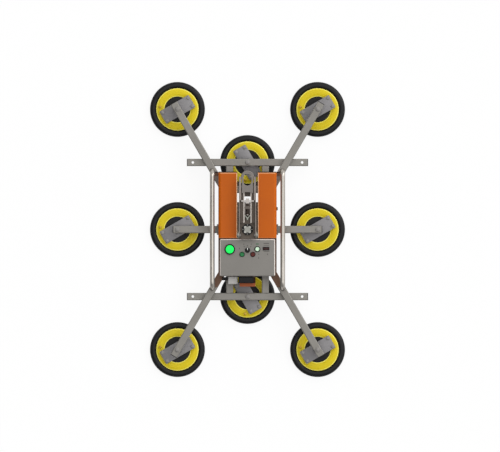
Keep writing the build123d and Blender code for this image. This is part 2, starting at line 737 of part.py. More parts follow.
# Mode selector: round knob with a raised grip bar, on a shaft through the panel
with BuildPart() as knob:
    with BuildSketch(Plane.XY.offset(panel_z + KNOB_BEZEL_H)):
        with Locations((KNOB_X, KNOB_Y)):
            Circle(KNOB_SKIRT_R)
    extrude(amount=KNOB_SKIRT_H)
    with BuildSketch(Plane.XY.offset(panel_z + KNOB_BEZEL_H)):
        with Locations((KNOB_X, KNOB_Y)):
            SlotOverall(KNOB_GRIP_L, KNOB_GRIP_W, rotation=90)
    extrude(amount=KNOB_H)
    with BuildSketch(Plane.XY.offset(panel_z - PANEL_BACK_DEPTH)):
        with Locations((KNOB_X, KNOB_Y)):
            Circle(KNOB_SHAFT_R)
    extrude(amount=PANEL_BACK_DEPTH + KNOB_BEZEL_H)
knob.part.label = "mode_selector"
export_step(knob.part, "parts/mode_selector.step")

# Battery tray: one folded strip that hooks behind the control box, with a flat lip on its front edge
tray_y1 = box_y0
tray_front_y = tray_y1 - TRAY_T - BATTERY_L
with BuildPart() as tray:
    with BuildSketch(Plane(origin=(-TRAY_W / 2, 0, 0), x_dir=(0, 1, 0), z_dir=(1, 0, 0))):
        with BuildLine():
            Polyline(
                (tray_y1, TRAY_Z),
                (tray_front_y - TRAY_T, TRAY_Z),
                (tray_front_y - TRAY_T, TRAY_Z + TRAY_FRONT_H),
                (tray_front_y, TRAY_Z + TRAY_FRONT_H),
                (tray_front_y, TRAY_Z + TRAY_T),
                (tray_y1 - TRAY_T, TRAY_Z + TRAY_T),
                (tray_y1 - TRAY_T, TRAY_Z + TRAY_BACK_H),
                (tray_y1, TRAY_Z + TRAY_BACK_H),
                close=True,
            )
        make_face()
    extrude(amount=TRAY_W)
    with BuildSketch(Plane.XY.offset(TRAY_Z + TRAY_FRONT_H - TRAY_T)):
        with Locations((0, tray_front_y - TRAY_T - TRAY_LIP / 2)):
            Rectangle(TRAY_LIP_W, TRAY_LIP)
    extrude(amount=TRAY_T)
tray.part.label = "battery_tray"
export_step(tray.part, "parts/battery_tray.step")

# Battery pack with a narrower terminal cover on top
battery_mid_y = tray_front_y + BATTERY_L / 2
with BuildPart() as battery:
    with BuildSketch(Plane.XY.offset(TRAY_Z + TRAY_T)):
        with Locations(((BATTERY_X0 + BATTERY_X1) / 2, battery_mid_y)):
            Rectangle(BATTERY_X1 - BATTERY_X0, BATTERY_L)
    extrude(amount=BATTERY_H - BATTERY_CAP_H)
    with BuildSketch(Plane.XY.offset(TRAY_Z + TRAY_T + BATTERY_H - BATTERY_CAP_H)):
        with Locations(((BATTERY_X0 + BATTERY_X1) / 2, battery_mid_y)):
            Rectangle(
                BATTERY_X1 - BATTERY_X0 - 2 * BATTERY_CAP_INSET, BATTERY_L - 2 * BATTERY_CAP_INSET
            )
    extrude(amount=BATTERY_CAP_H)
battery.part.label = "battery_pack"
export_step(battery.part, "parts/battery_pack.step")

# Valve block on the left rail, with a round silencer port at its side
valve_y1 = box_y0 - VALVE_GAP
with BuildPart() as valve:
    with BuildSketch(Plane.XY.offset(frame_top)):
        with Locations(((VALVE_X0 + VALVE_X1) / 2, valve_y1 - VALVE_L / 2)):
            Rectangle(VALVE_X1 - VALVE_X0, VALVE_L)
    extrude(amount=VALVE_H)
    chamfer(valve.edges().group_by(Axis.Z)[-1], VALVE_CHAMFER)
    port = Plane(
        origin=(VALVE_X0, valve_y1 - PORT_SINK, frame_top + VALVE_H - PORT_DROP),
        x_dir=(0, 1, 0),
        z_dir=(-1, 0, 0),
    )
    with BuildSketch(port):
        Circle(PORT_R)
    extrude(amount=PORT_L)
valve.part.label = "valve_block"
export_step(valve.part, "parts/valve_block.step")

# Slewing pedestal: turned column with its foot, flange and spindle, a thrust washer and a lock nut
carrier_top = frame_top + CARRIER_T
with BuildPart() as column:
    with BuildSketch(Plane.XY.offset(carrier_top)):
        RectangleRounded(PEDESTAL_FOOT, PEDESTAL_FOOT, PEDESTAL_CORNER)
    extrude(amount=PEDESTAL_FOOT_T)
    with BuildSketch(Plane.XY.offset(carrier_top + PEDESTAL_FOOT_T)):
        Circle(PEDESTAL_R)
    extrude(amount=PEDESTAL_TOP_Z - PEDESTAL_FOOT_T - carrier_top)
    with BuildSketch(Plane.XY.offset(PEDESTAL_TOP_Z - PEDESTAL_FLANGE_T)):
        Circle(PEDESTAL_FLANGE_R)
    extrude(amount=PEDESTAL_FLANGE_T)
    with BuildSketch(Plane.XY.offset(PEDESTAL_TOP_Z)):
        Circle(SPINDLE_R)
    extrude(amount=WASHER_T + YOKE_T + SPINDLE_NUT_H)
with BuildPart() as thrust_washer:
    with BuildSketch(Plane.XY.offset(PEDESTAL_TOP_Z)):
        Circle(PEDESTAL_FLANGE_R - WASHER_T)
        Circle(SPINDLE_R, mode=Mode.SUBTRACT)
    extrude(amount=WASHER_T)
with BuildPart() as spindle_nut:
    with BuildSketch(Plane.XY.offset(yoke_top + SOFT_GAP)):
        Circle(SPINDLE_NUT_R)
        Circle(SPINDLE_R, mode=Mode.SUBTRACT)
    extrude(amount=SPINDLE_NUT_H - SOFT_GAP)
pedestal = Compound(
    children=[Part(p.part.wrapped) for p in (column, thrust_washer, spindle_nut)]
)
pedestal.label = "slewing_pedestal"
export_step(pedestal, "parts/slewing_pedestal.step")

# Yoke: base plate that turns on the spindle, two pivot ears, the arm's rest pads and the lock's catch
with BuildPart() as yoke:
    with BuildSketch(Plane.XY.offset(yoke_z)):
        with Locations((0, (YOKE_Y0 + YOKE_Y1) / 2)):
            RectangleRounded(2 * (EAR_IN_X + EAR_T), YOKE_Y1 - YOKE_Y0, YOKE_CORNER)
        Circle(SPINDLE_R + PIN_GAP, mode=Mode.SUBTRACT)
    extrude(amount=YOKE_T)
    for sign in (-1, 1):
        ear_plane = Plane(origin=(sign * EAR_IN_X, PIVOT_Y, 0), x_dir=(0, 1, 0), z_dir=(sign, 0, 0))
        with BuildSketch(ear_plane):
            with Locations((0, PIVOT_Z * sign)):
                Circle(EAR_R)
            with Locations((0, sign * (PIVOT_Z + yoke_top) / 2)):
                Rectangle(2 * EAR_R, PIVOT_Z - yoke_top)
            with Locations((0, PIVOT_Z * sign)):
                Circle(PIVOT_R, mode=Mode.SUBTRACT)
        extrude(amount=EAR_T)
    pad_x = (SLOT_HALF + side_bar_x) / 2
    pad_y = YOKE_Y1 - REST_PAD_INSET
    with BuildSketch(Plane.XY.offset(yoke_top)):
        with Locations((-pad_x, pad_y), (pad_x, pad_y)):
            Rectangle(REST_PAD_W, REST_PAD_L)
    extrude(amount=FLOOR_Z - yoke_top)
    # The catch is a flat Y in plan, whose arms take the rod's wedge tip
    with BuildSketch(Plane.XY.offset(yoke_top)):
        with BuildLine():
            notch_y = ROD_Y0 - ROD_R - SOFT_GAP
            catch_half = SLOT_HALF - CATCH_SIDE_GAP
            Polyline(
                (-catch_half, notch_y + catch_half - CATCH_ARM / 2),
                (-catch_half, notch_y + catch_half),
                (-CATCH_ARM, notch_y + CATCH_ARM),
                (0, notch_y),
                (CATCH_ARM, notch_y + CATCH_ARM),
                (catch_half, notch_y + catch_half),
                (catch_half, notch_y + catch_half - CATCH_ARM / 2),
                (CATCH_ARM / 2, notch_y - CATCH_ARM),
                (CATCH_ARM / 2, notch_y - 2 * CATCH_ARM),
                (-CATCH_ARM / 2, notch_y - 2 * CATCH_ARM),
                (-CATCH_ARM / 2, notch_y - CATCH_ARM),
                close=True,
            )
        make_face()
    extrude(amount=CATCH_T)
yoke.part.label = "yoke"
export_step(yoke.part, "parts/yoke.step")

# Hub: octagonal retaining flange over the spindle nut, with a lobed cap and its screws
with BuildPart() as hub:
    with BuildSketch(Plane.XY.offset(yoke_top)):
        RegularPolygon(HUB_FLAT_W / 2, 8, major_radius=False, rotation=22.5)
    extrude(amount=HUB_H)
    with BuildSketch(Plane.XY.offset(yoke_top)):
        Circle(SPINDLE_NUT_R + HUB_GAP)
    extrude(amount=SPINDLE_NUT_H + HUB_GAP, mode=Mode.SUBTRACT)
with BuildPart() as hub_cap:
    with BuildSketch(Plane.XY.offset(yoke_top + HUB_H)):
        RectangleRounded(HUB_CAP_W, HUB_CAP_W, HUB_CAP_CORNER)
        with PolarLocations(HUB_LOBE_PLACE_R, 4, start_angle=0):
            Circle(HUB_LOBE_R, mode=Mode.SUBTRACT)
    extrude(amount=HUB_CAP_T)
with BuildPart() as hub_screws:
    with BuildSketch(Plane.XY.offset(yoke_top + HUB_H + HUB_CAP_T)):
        with GridLocations(HUB_SCREW_PITCH, HUB_SCREW_PITCH, 2, 2):
            Circle(HUB_SCREW_R)
    extrude(amount=HUB_SCREW_H)
    with BuildSketch(Plane.XY.offset(yoke_top + HUB_H)):
        with PolarLocations(HUB_FLAT_W / 2 - HUB_RIM_SCREW_INSET, 4):
            Circle(HUB_RIM_SCREW_R)
    extrude(amount=HUB_RIM_SCREW_H)
hub_pieces = [hub.part, hub_cap.part, *hub_screws.part.solids()]
hub_group = Compound(children=[Part(p.wrapped) for p in hub_pieces])
hub_group.label = "hub_flange"
export_step(hub_group, "parts/hub_flange.step")

# Lifting arm: two side walls on a slotted floor, side bars, the rod's guide and the lock's stop tongue
with BuildPart() as arm:
    for sign in (-1, 1):
        wall_plane = Plane(
            origin=(sign * side_bar_x, PIVOT_Y, PIVOT_Z), x_dir=(0, 1, 0), z_dir=(sign, 0, 0)
        )
        with BuildSketch(wall_plane):
            Circle(ARM_H / 2)
            with Locations(((ARM_END_Y - PIVOT_Y) / 2, 0)):
                Rectangle(ARM_END_Y - PIVOT_Y, ARM_H)
            Circle(PIVOT_R + PIN_GAP, mode=Mode.SUBTRACT)
        extrude(amount=ARM_WALL_T)
    with BuildSketch(Plane.XY.offset(FLOOR_Z)):
        with Locations((0, (FLOOR_Y0 + FLOOR_Y1) / 2)):
            Rectangle(2 * side_bar_x, FLOOR_Y1 - FLOOR_Y0)
        with Locations((0, (FLOOR_Y0 + SLOT_Y1) / 2)):
            Rectangle(2 * SLOT_HALF, SLOT_Y1 - FLOOR_Y0, mode=Mode.SUBTRACT)
    extrude(amount=FLOOR_T)
    tongue_y0 = LOCK_BAR_Y + LOCK_BLOCK_L / 2 + LOCK_TRAVEL + LOCK_END_GAP
    tongue_y1 = SLOT_Y1 + TONGUE_SEAT
    with BuildSketch(Plane.XY.offset(FLOOR_Z - TONGUE_T)):
        with Locations((0, (tongue_y0 + tongue_y1) / 2)):
            Rectangle(2 * (SLOT_HALF + TONGUE_SEAT), tongue_y1 - tongue_y0)
    extrude(amount=TONGUE_T)
    with BuildSketch(Plane.XY.offset(FLOOR_Z)):
        with Locations(
            (-side_bar_x + SIDE_BAR_W / 2, (SIDE_BAR_Y0 + ARM_END_Y) / 2),
            (side_bar_x - SIDE_BAR_W / 2, (SIDE_BAR_Y0 + ARM_END_Y) / 2),
        ):
            Rectangle(SIDE_BAR_W, ARM_END_Y - SIDE_BAR_Y0)
    extrude(amount=FLOOR_T + SIDE_BAR_H)
    guide_face = Plane(origin=(0, GUIDE_Y0, ROD_Z), x_dir=(1, 0, 0), z_dir=(0, 1, 0))
    with BuildSketch(guide_face):
        Rectangle(2 * SLOT_HALF, 2 * (ROD_R + GUIDE_WALL))
    extrude(amount=GUIDE_L)
    with BuildSketch(guide_face):
        Circle(ROD_R + PIN_GAP)
    extrude(amount=GUIDE_L, mode=Mode.SUBTRACT)
arm.part.label = "lifting_arm"
export_step(arm.part, "parts/lifting_arm.step")

# Lifting eye: thick plate with a round head and an oval hole, welded on the floor between the side bars
eye_centre_y = EYE_TOP_Y - eye_half
with BuildPart() as eye:
    with BuildSketch(Plane.XY.offset(floor_top)):
        with Locations((0, eye_centre_y)):
            Circle(eye_half)
        with Locations((0, (EYE_Y0 + eye_centre_y) / 2)):
            Rectangle(2 * shank_half, eye_centre_y - EYE_Y0)
        with Locations((0, EYE_HOLE_Y)):
            SlotOverall(EYE_HOLE_L, EYE_HOLE_W, rotation=90, mode=Mode.SUBTRACT)
        with Locations((0, EYE_Y0 - 2 * eye_half)):
            Circle(2 * eye_half + EYE_ARCH, mode=Mode.SUBTRACT)
    extrude(amount=EYE_T)
    chamfer(eye.edges().filter_by(GeomType.CIRCLE).group_by(Axis.Z)[-1].group_by(Axis.Y)[-1], EYE_CHAMFER)
eye.part.label = "lifting_eye"
export_step(eye.part, "parts/lifting_eye.step")

# Arm pivot bolts: a headed shoulder bolt through each ear and arm wall, with a nut inside
pivot_bolts = []
for sign in (-1, 1):
    out = Plane(
        origin=(sign * (EAR_IN_X + EAR_T), PIVOT_Y, PIVOT_Z), x_dir=(0, 1, 0), z_dir=(sign, 0, 0)
    )
    nut_in = side_bar_x - SOFT_GAP
    with BuildPart() as pivot_bolt:
        with BuildSketch(out):
            Circle(PIVOT_HEAD_R)
        extrude(amount=PIVOT_HEAD_H)
        with BuildSketch(out):
            Circle(PIVOT_R)
        extrude(amount=-(EAR_IN_X + EAR_T - nut_in + PIVOT_HEAD_H))
        with BuildSketch(out.offset(-(EAR_IN_X + EAR_T - nut_in))):
            RegularPolygon(PIVOT_HEAD_R, 6)
        extrude(amount=-PIVOT_HEAD_H)
    pivot_bolts.append(pivot_bolt.part)
pivot_group = Compound(children=[Part(b.wrapped) for b in pivot_bolts])
pivot_group.label = "arm_pivot_bolts"
export_step(pivot_group, "parts/arm_pivot_bolts.step")

# Tilt lock: a T-shaped pull with a rod that runs through the guide to a wedge tip in the catch
collar_y = GUIDE_Y0 - SPRING_L - COLLAR_T
with BuildPart() as lock:
    with BuildSketch(Plane(origin=(0, 0, ROD_Z), z_dir=(0, 0, 1))):
        with BuildLine():
            Polyline(
                (0, ROD_Y0 - ROD_R),
                (ROD_R, ROD_Y0),
                (ROD_R, LOCK_BAR_Y),
                (0, LOCK_BAR_Y),
                close=True,
            )
        make_face()
    revolve(axis=Axis((0, 0, ROD_Z), (0, 1, 0)))
    with BuildSketch(Plane(origin=(0, collar_y, ROD_Z), x_dir=(1, 0, 0), z_dir=(0, 1, 0))):
        Circle(COLLAR_R)
    extrude(amount=COLLAR_T)
    with BuildSketch(Plane.XY.offset(ROD_Z - ROD_R)):
        with Locations((0, LOCK_BAR_Y)):
            Rectangle(LOCK_BLOCK_W, LOCK_BLOCK_L)
    extrude(amount=LOCK_BLOCK_H)
    with BuildSketch(Plane.XY.offset(floor_top + SOFT_GAP)):
        with Locations((0, LOCK_BAR_Y)):
            Rectangle(2 * (eye_half - SOFT_GAP), LOCK_BAR_W)
    extrude(amount=LOCK_BAR_H)
lock.part.label = "tilt_lock"
export_step(lock.part, "parts/tilt_lock.step")

# Return spring of the tilt lock: wire coiled round the rod between its collar and the guide
spring_end = SPRING_WIRE_R + SPRING_GAP
spring_run = SPRING_L - 2 * spring_end
with BuildPart() as spring:
    with BuildLine():
        coil = Helix(
            pitch=spring_run / SPRING_TURNS,
            height=spring_run,
            radius=SPRING_R,
            center=(0, GUIDE_Y0 - SPRING_L + spring_end, ROD_Z),
            direction=(0, 1, 0),
        )
    with BuildSketch(Plane(origin=coil @ 0, z_dir=coil % 0)):
        Circle(SPRING_WIRE_R)
    sweep(is_frenet=True)
spring.part.label = "lock_spring"
export_step(spring.part, "parts/lock_spring.step")
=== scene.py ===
import math

import bmesh
import bpy
from mathutils import Matrix, Vector


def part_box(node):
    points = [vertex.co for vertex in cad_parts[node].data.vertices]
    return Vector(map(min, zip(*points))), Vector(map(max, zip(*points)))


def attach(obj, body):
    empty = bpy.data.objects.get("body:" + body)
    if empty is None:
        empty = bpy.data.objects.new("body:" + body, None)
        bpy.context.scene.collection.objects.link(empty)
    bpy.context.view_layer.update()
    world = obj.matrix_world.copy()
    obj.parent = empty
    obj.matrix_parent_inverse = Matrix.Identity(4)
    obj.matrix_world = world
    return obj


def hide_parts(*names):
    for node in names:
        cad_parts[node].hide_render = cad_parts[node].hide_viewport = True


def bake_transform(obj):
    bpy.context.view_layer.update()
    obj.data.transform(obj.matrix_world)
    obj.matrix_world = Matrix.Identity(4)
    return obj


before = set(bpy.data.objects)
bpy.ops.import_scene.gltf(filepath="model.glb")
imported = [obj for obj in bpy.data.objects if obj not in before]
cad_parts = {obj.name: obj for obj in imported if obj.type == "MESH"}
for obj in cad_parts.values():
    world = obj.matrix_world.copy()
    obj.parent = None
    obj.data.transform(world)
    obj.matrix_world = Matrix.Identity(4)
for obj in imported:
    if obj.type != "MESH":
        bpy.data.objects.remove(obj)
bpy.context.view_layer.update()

# Camera: square on to the control panel, as the photograph looks at the lifter. The long lens keeps
# the cups and the panel, which lie at different heights, at nearly the same scale.
PHOTO_WIDTH = 2.75
PHOTO_CENTRE = (0.01375, 0.01925)
CAMERA_HEIGHT = 45.0
SENSOR_WIDTH = 36
camera_data = bpy.data.cameras.new("camera")
camera_data.sensor_width = SENSOR_WIDTH
camera_data.lens = SENSOR_WIDTH * CAMERA_HEIGHT / PHOTO_WIDTH
camera_data.clip_end = 100
camera = bpy.data.objects.new("camera", camera_data)
camera.location = (*PHOTO_CENTRE, CAMERA_HEIGHT)
bpy.context.scene.collection.objects.link(camera)
bpy.context.scene.camera = camera


def linear(hex_colour):
    """Linear colour of an sRGB hex colour."""
    channels = [int(hex_colour[i : i + 2], 16) / 255 for i in (1, 3, 5)]
    return [c / 12.92 if c <= 0.04045 else ((c + 0.055) / 1.055) ** 2.4 for c in channels] + [1.0]


def add(tree, kind, inputs, **settings):
    """Adds one node: inputs holds a value or a feeding socket for each of its sockets."""
    node = tree.nodes.new(kind)
    for name, value in settings.items():
        setattr(node, name, value)
    for socket, value in inputs.items():
        if isinstance(value, bpy.types.NodeSocket):
            tree.links.new(value, node.inputs[socket])
        else:
            node.inputs[socket].default_value = value
    return node


# Floor: a white studio floor. It keeps a faint soft shadow round the lifter, and the camera sees the
# rest of it as white paper.
FLOOR_SIZE = 30.0
FLOOR_WHITENESS = 0.88
floor_mesh = bmesh.new()
bmesh.ops.create_grid(floor_mesh, x_segments=1, y_segments=1, size=FLOOR_SIZE)
floor_data = bpy.data.meshes.new("floor")
floor_mesh.to_mesh(floor_data)
floor_mesh.free()
floor = bpy.data.objects.new("floor", floor_data)
bpy.context.scene.collection.objects.link(floor)
floor_paint = bpy.data.materials.new("floor_paint")
floor_paint.use_nodes = True
tree = floor_paint.node_tree
tree.nodes.clear()
rays = add(tree, "ShaderNodeLightPath", {})
matt = add(tree, "ShaderNodeBsdfDiffuse", {"Color": linear("#F2F2F2")})
white = add(tree, "ShaderNodeEmission", {"Color": linear("#FFFFFF"), "Strength": 1.0})
seen = add(
    tree, "ShaderNodeMath", {0: rays.outputs["Is Camera Ray"], 1: FLOOR_WHITENESS}, operation="MULTIPLY"
)
mix = add(tree, "ShaderNodeMixShader", {0: seen.outputs[0], 1: matt.outputs[0], 2: white.outputs[0]})
add(tree, "ShaderNodeOutputMaterial", {"Surface": mix.outputs[0]})
floor_data.materials.append(floor_paint)

# Light: a white studio dome that is brightest low on the upper right, where the photograph's bright
# edges face, a broad lamp above from the same side, and a low one that catches folded edges and
# casts no shadow. Each lamp has its strength, its width in degrees, the way to it and its shadow.
BRIGHT_SIDE = (0.707, 0.566, -0.424)
BRIGHT_LEVEL = 1.15
DIM_LEVEL = 0.2
LAMPS = {
    "broad_lamp": (1.45, 70, (0.2, 0.25, 1.0), True),
    "edge_lamp": (1.0, 12, (0.8, 0.6, 0.45), False),
}
world = bpy.data.worlds.new("studio")
bpy.context.scene.world = world
world.use_nodes = True
tree = world.node_tree
tree.nodes.clear()
rays = add(tree, "ShaderNodeLightPath", {})
coords = add(tree, "ShaderNodeTexCoord", {})
side = add(
    tree, "ShaderNodeVectorMath", {0: coords.outputs["Generated"], 1: BRIGHT_SIDE}, operation="DOT_PRODUCT"
)
level = add(
    tree, "ShaderNodeMapRange",
    {"Value": side.outputs["Value"], "From Min": -1.0, "To Min": DIM_LEVEL, "To Max": BRIGHT_LEVEL},
)
sky = add(tree, "ShaderNodeBackground", {"Color": linear("#FFFFFF"), "Strength": level.outputs[0]})
backdrop = add(tree, "ShaderNodeBackground", {"Color": linear("#FFFFFF"), "Strength": 1.0})
seen = rays.outputs["Is Camera Ray"]
mix = add(tree, "ShaderNodeMixShader", {0: seen, 1: sky.outputs[0], 2: backdrop.outputs[0]})
add(tree, "ShaderNodeOutputWorld", {"Surface": mix.outputs[0]})

for name, (strength, spread, towards, shadow) in LAMPS.items():
    lamp_data = bpy.data.lights.new(name, "SUN")
    lamp_data.energy = strength
    lamp_data.angle = math.radians(spread)
    lamp_data.use_shadow = shadow
    lamp = bpy.data.objects.new(name, lamp_data)
    lamp.rotation_euler = Vector(towards).to_track_quat("Z", "Y").to_euler()
    bpy.context.scene.collection.objects.link(lamp)
bpy.context.scene.view_settings.view_transform = "Standard"

# Rubber cups: black vulcanised rubber, each moulded in one piece with a crowned bead, two sealing
# lips under it and a flat membrane across the middle.
CUPS = [f"{end}_{side}" for side in ("left", "right") for end in ("upper", "middle", "lower")]
CUPS += ["upper_centre", "lower_centre"]
CUP_R = 151
BEAD_IN_R = 117
BEAD_TOP = 45
BEAD_OUT_ROUND = 17
BEAD_IN_ROUND = 12
LIP_TOP = 11
LIP_ROUND = 1.5
MEMBRANE_LOW = 24
MEMBRANE_TOP = 32
SIDE_PLATE_DEG = 30
CENTRE_PLATE_DEG = 120
ROUND_STEPS = 128


def node_box(node):
    """Lower and upper corner of a CAD node, in millimetres."""
    low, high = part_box(node)
    return low * 1000, high * 1000


def at(x, y, z=0.0):
    """Matrix of a move."""
    return Matrix.Translation((x, y, z))


def spun(profile, rounds, steps=ROUND_STEPS):
    """Turned shape: a profile of (radius, height) points, some corners rounded, spun about Z."""
    bm = bmesh.new()
    verts = [bm.verts.new((r, 0, z)) for r, z in profile]
    closed = profile[0][0] > 0
    for a, b in zip(verts, verts[1:] + (verts[:1] if closed else [])):
        bm.edges.new((a, b))
    for corner, radius in rounds.items():
        bmesh.ops.bevel(
            bm, geom=[verts[corner]], offset=radius, segments=6, profile=0.5, affect="VERTICES", material=-1
        )
    bmesh.ops.spin(
        bm, geom=bm.verts[:] + bm.edges[:], axis=(0, 0, 1), cent=(0, 0, 0), angle=2 * math.pi,
        steps=steps, use_merge=True,
    )
    bmesh.ops.remove_doubles(bm, verts=bm.verts, dist=0.001)
    return bm


def finish_piece(name, bm, materials, slot, body, *nodes, place=Matrix(), smooth_under=35):
    """Turns a mesh drawn in millimetres into a piece: placed, shaded, riding on a body, for its nodes."""
    bmesh.ops.recalc_face_normals(bm, faces=bm.faces)
    bmesh.ops.transform(bm, matrix=place, verts=bm.verts)
    bmesh.ops.scale(bm, vec=(0.001, 0.001, 0.001), verts=bm.verts)
    for face in bm.faces:
        face.smooth = True
    for edge in bm.edges:
        edge.smooth = edge.is_manifold and edge.calc_face_angle() < math.radians(smooth_under)
    mesh = bpy.data.meshes.new(name)
    bm.to_mesh(mesh)
    bm.free()
    for material in materials:
        mesh.materials.append(material)
    piece = bpy.data.objects.new(name, mesh)
    bpy.context.scene.collection.objects.link(piece)
    if body:
        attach(piece, body)
    if nodes:
        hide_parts(*nodes)
    return piece


def new_material(name):
    """A node material and its Principled shader."""
    material = bpy.data.materials.new(name)
    material.use_nodes = True
    return material, material.node_tree, material.node_tree.nodes["Principled BSDF"]


def two_tone(tree, height, dark, light):
    """Colour that wanders between two close tones with a noise."""
    return add(
        tree, "ShaderNodeMix", {0: height, 6: linear(dark), 7: linear(light)}, data_type="RGBA"
    ).outputs[2]


# Vulcanised rubber is nearly black with a broad dull sheen; talc and handling leave paler patches
# some 60 mm wide, and the mould leaves a fine grain, drawn 3 mm coarse so that it shows.
RUBBER_PATCH = 0.06
RUBBER_GRAIN = 0.003
rubber, tree, shader = new_material("vulcanised_rubber")
shader.inputs["Specular IOR Level"].default_value = 0.22
coords = add(tree, "ShaderNodeTexCoord", {}).outputs["Object"]
patches = add(tree, "ShaderNodeTexNoise", {"Vector": coords, "Scale": 1 / RUBBER_PATCH, "Detail": 4.0})
grain = add(tree, "ShaderNodeTexNoise", {"Vector": coords, "Scale": 1 / RUBBER_GRAIN, "Detail": 2.0})
bump = add(tree, "ShaderNodeBump", {"Height": grain.outputs[0], "Strength": 0.25, "Distance": 0.0004})
dull = add(tree, "ShaderNodeMapRange", {"Value": patches.outputs[0], "To Min": 0.38, "To Max": 0.55})
tree.links.new(two_tone(tree, patches.outputs[0], "#080809", "#131314"), shader.inputs["Base Color"])
tree.links.new(dull.outputs[0], shader.inputs["Roughness"])
tree.links.new(bump.outputs[0], shader.inputs["Normal"])

seal_profile = [
    (0, MEMBRANE_LOW), (109, MEMBRANE_LOW), (121, 0), (127, 0), (131, LIP_TOP), (137, LIP_TOP),
    (141, 0), (147, 0), (CUP_R, LIP_TOP), (CUP_R, BEAD_TOP), (BEAD_IN_R, BEAD_TOP),
    (BEAD_IN_R, MEMBRANE_TOP), (0, MEMBRANE_TOP),
]
seal_rounds = {9: BEAD_OUT_ROUND, 10: BEAD_IN_ROUND, 4: LIP_ROUND, 5: LIP_ROUND, 8: LIP_ROUND}
cup_place = {}
for cup in CUPS:
    low, high = node_box(f"cup_seal_{cup}")
    turn = math.radians(CENTRE_PLATE_DEG if cup.endswith("centre") else SIDE_PLATE_DEG)
    centre = (low + high) / 2
    cup_place[cup] = at(centre.x, centre.y) @ Matrix.Rotation(turn, 4, "Z")
    finish_piece(
        f"rubber_cup_{cup}", spun(seal_profile, seal_rounds), [rubber], "cup_rubber",
        f"cup_{cup}", f"cup_seal_{cup}", place=cup_place[cup],
    )

# Ring plates: 8 mm steel rings bonded to the cups' backs, turned with a broad chamfer on both upper
# edges and coated yellow. The chamfers are a paler yellow, a painted highlight.
RING_BORE_R = 71
RING_OUT_R = 116
RING_TOP = 40
RING_CHAMFER = 2.5
RING_EDGE = 4.5


def powder_coat(name, dark, light, rough=0.42):
    """Polyester powder coat: even colour, soft gloss and an orange-peel skin, drawn 4 mm coarse."""
    peel = 0.004
    patch = 0.09
    material, tree, shader = new_material(name)
    shader.inputs["Specular IOR Level"].default_value = 0.16
    coords = add(tree, "ShaderNodeTexCoord", {}).outputs["Object"]
    patches = add(tree, "ShaderNodeTexNoise", {"Vector": coords, "Scale": 1 / patch, "Detail": 5.0})
    skin = add(tree, "ShaderNodeTexNoise", {"Vector": coords, "Scale": 1 / peel, "Detail": 1.0})
    bump = add(tree, "ShaderNodeBump", {"Height": skin.outputs[0], "Strength": 0.3, "Distance": 0.0002})
    gloss = add(
        tree, "ShaderNodeMapRange",
        {"Value": patches.outputs[0], "To Min": rough - 0.08, "To Max": rough + 0.08},
    )
    tree.links.new(two_tone(tree, patches.outputs[0], dark, light), shader.inputs["Base Color"])
    tree.links.new(gloss.outputs[0], shader.inputs["Roughness"])
    tree.links.new(bump.outputs[0], shader.inputs["Normal"])
    return material


yellow_coat = powder_coat("yellow_powder_coat", "#C8B30E", "#D6C016", rough=0.36)
yellow_painted_highlight = powder_coat("yellow_coat_painted_highlight", "#EADD58", "#F4E972", rough=0.3)
ring_profile = [
    (RING_BORE_R, MEMBRANE_TOP), (RING_OUT_R, MEMBRANE_TOP), (RING_OUT_R, RING_TOP - RING_CHAMFER),
    (RING_OUT_R - RING_EDGE, RING_TOP), (RING_BORE_R + RING_EDGE, RING_TOP),
    (RING_BORE_R, RING_TOP - RING_CHAMFER),
]
for cup in CUPS:
    ring = spun(ring_profile, {})
    ring.normal_update()
    # The chamfers' faces take the paler yellow: a painted highlight.
    for face in ring.faces:
        face.material_index = 1 if 0.2 < abs(face.normal.z) < 0.9 else 0
    finish_piece(
        f"ring_plate_{cup}", ring, [yellow_coat, yellow_painted_highlight], "yellow_coat",
        f"cup_{cup}", f"cup_ring_{cup}", place=cup_place[cup], smooth_under=30,
    )

# Swivel plates: 8 mm ground steel plates with a welded hub that stands under the frame tube. They
# turn with their cup, so that it can be set to the pane.
PLATE_L = 185
PLATE_W = 77
PLATE_CORNER_R = 5
PLATE_LOW = 54
PLATE_TOP = 62
HUB_R = 19
HUB_WELD_R = 23
HUB_WELD_H = 4


def ground_steel(name, dark, light, along="Y", rough=0.55, turn=0.0, metal=0.6, relief=0.1):
    """Ground stainless steel: warm grey with faint grinding lines along the bar, drawn 2.5 mm wide."""
    line = 0.0025
    stretch = 0.35
    patch = 0.12
    material, tree, shader = new_material(name)
    coords = add(tree, "ShaderNodeTexCoord", {}).outputs["Object"]
    scale = [1 / stretch if axis == along else 1 / line for axis in "XYZ"]
    laid = add(tree, "ShaderNodeMapping", {"Vector": coords, "Rotation": (0, 0, turn)})
    drawn = add(tree, "ShaderNodeMapping", {"Vector": laid.outputs[0], "Scale": scale})
    lines = add(tree, "ShaderNodeTexNoise", {"Vector": drawn.outputs[0], "Scale": 1.0, "Detail": 3.0})
    patches = add(tree, "ShaderNodeTexNoise", {"Vector": coords, "Scale": 1 / patch, "Detail": 4.0})
    both = add(tree, "ShaderNodeMath", {0: lines.outputs[0], 1: patches.outputs[0]}, operation="ADD")
    shade = add(tree, "ShaderNodeMath", {0: both.outputs[0], 1: 0.5}, operation="MULTIPLY")
    spread = add(tree, "ShaderNodeMapRange", {"Value": shade.outputs[0], "From Min": 0.3, "From Max": 0.7})
    gloss = add(
        tree, "ShaderNodeMapRange",
        {"Value": lines.outputs[0], "To Min": rough - 0.07, "To Max": rough + 0.07},
    )
    bump = add(tree, "ShaderNodeBump", {"Height": lines.outputs[0], "Strength": relief, "Distance": 0.0002})
    shader.inputs["Metallic"].default_value = metal
    tree.links.new(two_tone(tree, spread.outputs[0], dark, light), shader.inputs["Base Color"])
    tree.links.new(gloss.outputs[0], shader.inputs["Roughness"])
    tree.links.new(bump.outputs[0], shader.inputs["Normal"])
    return material


plate_steel = ground_steel("ground_plate_steel", "#787677", "#868485", along="X")


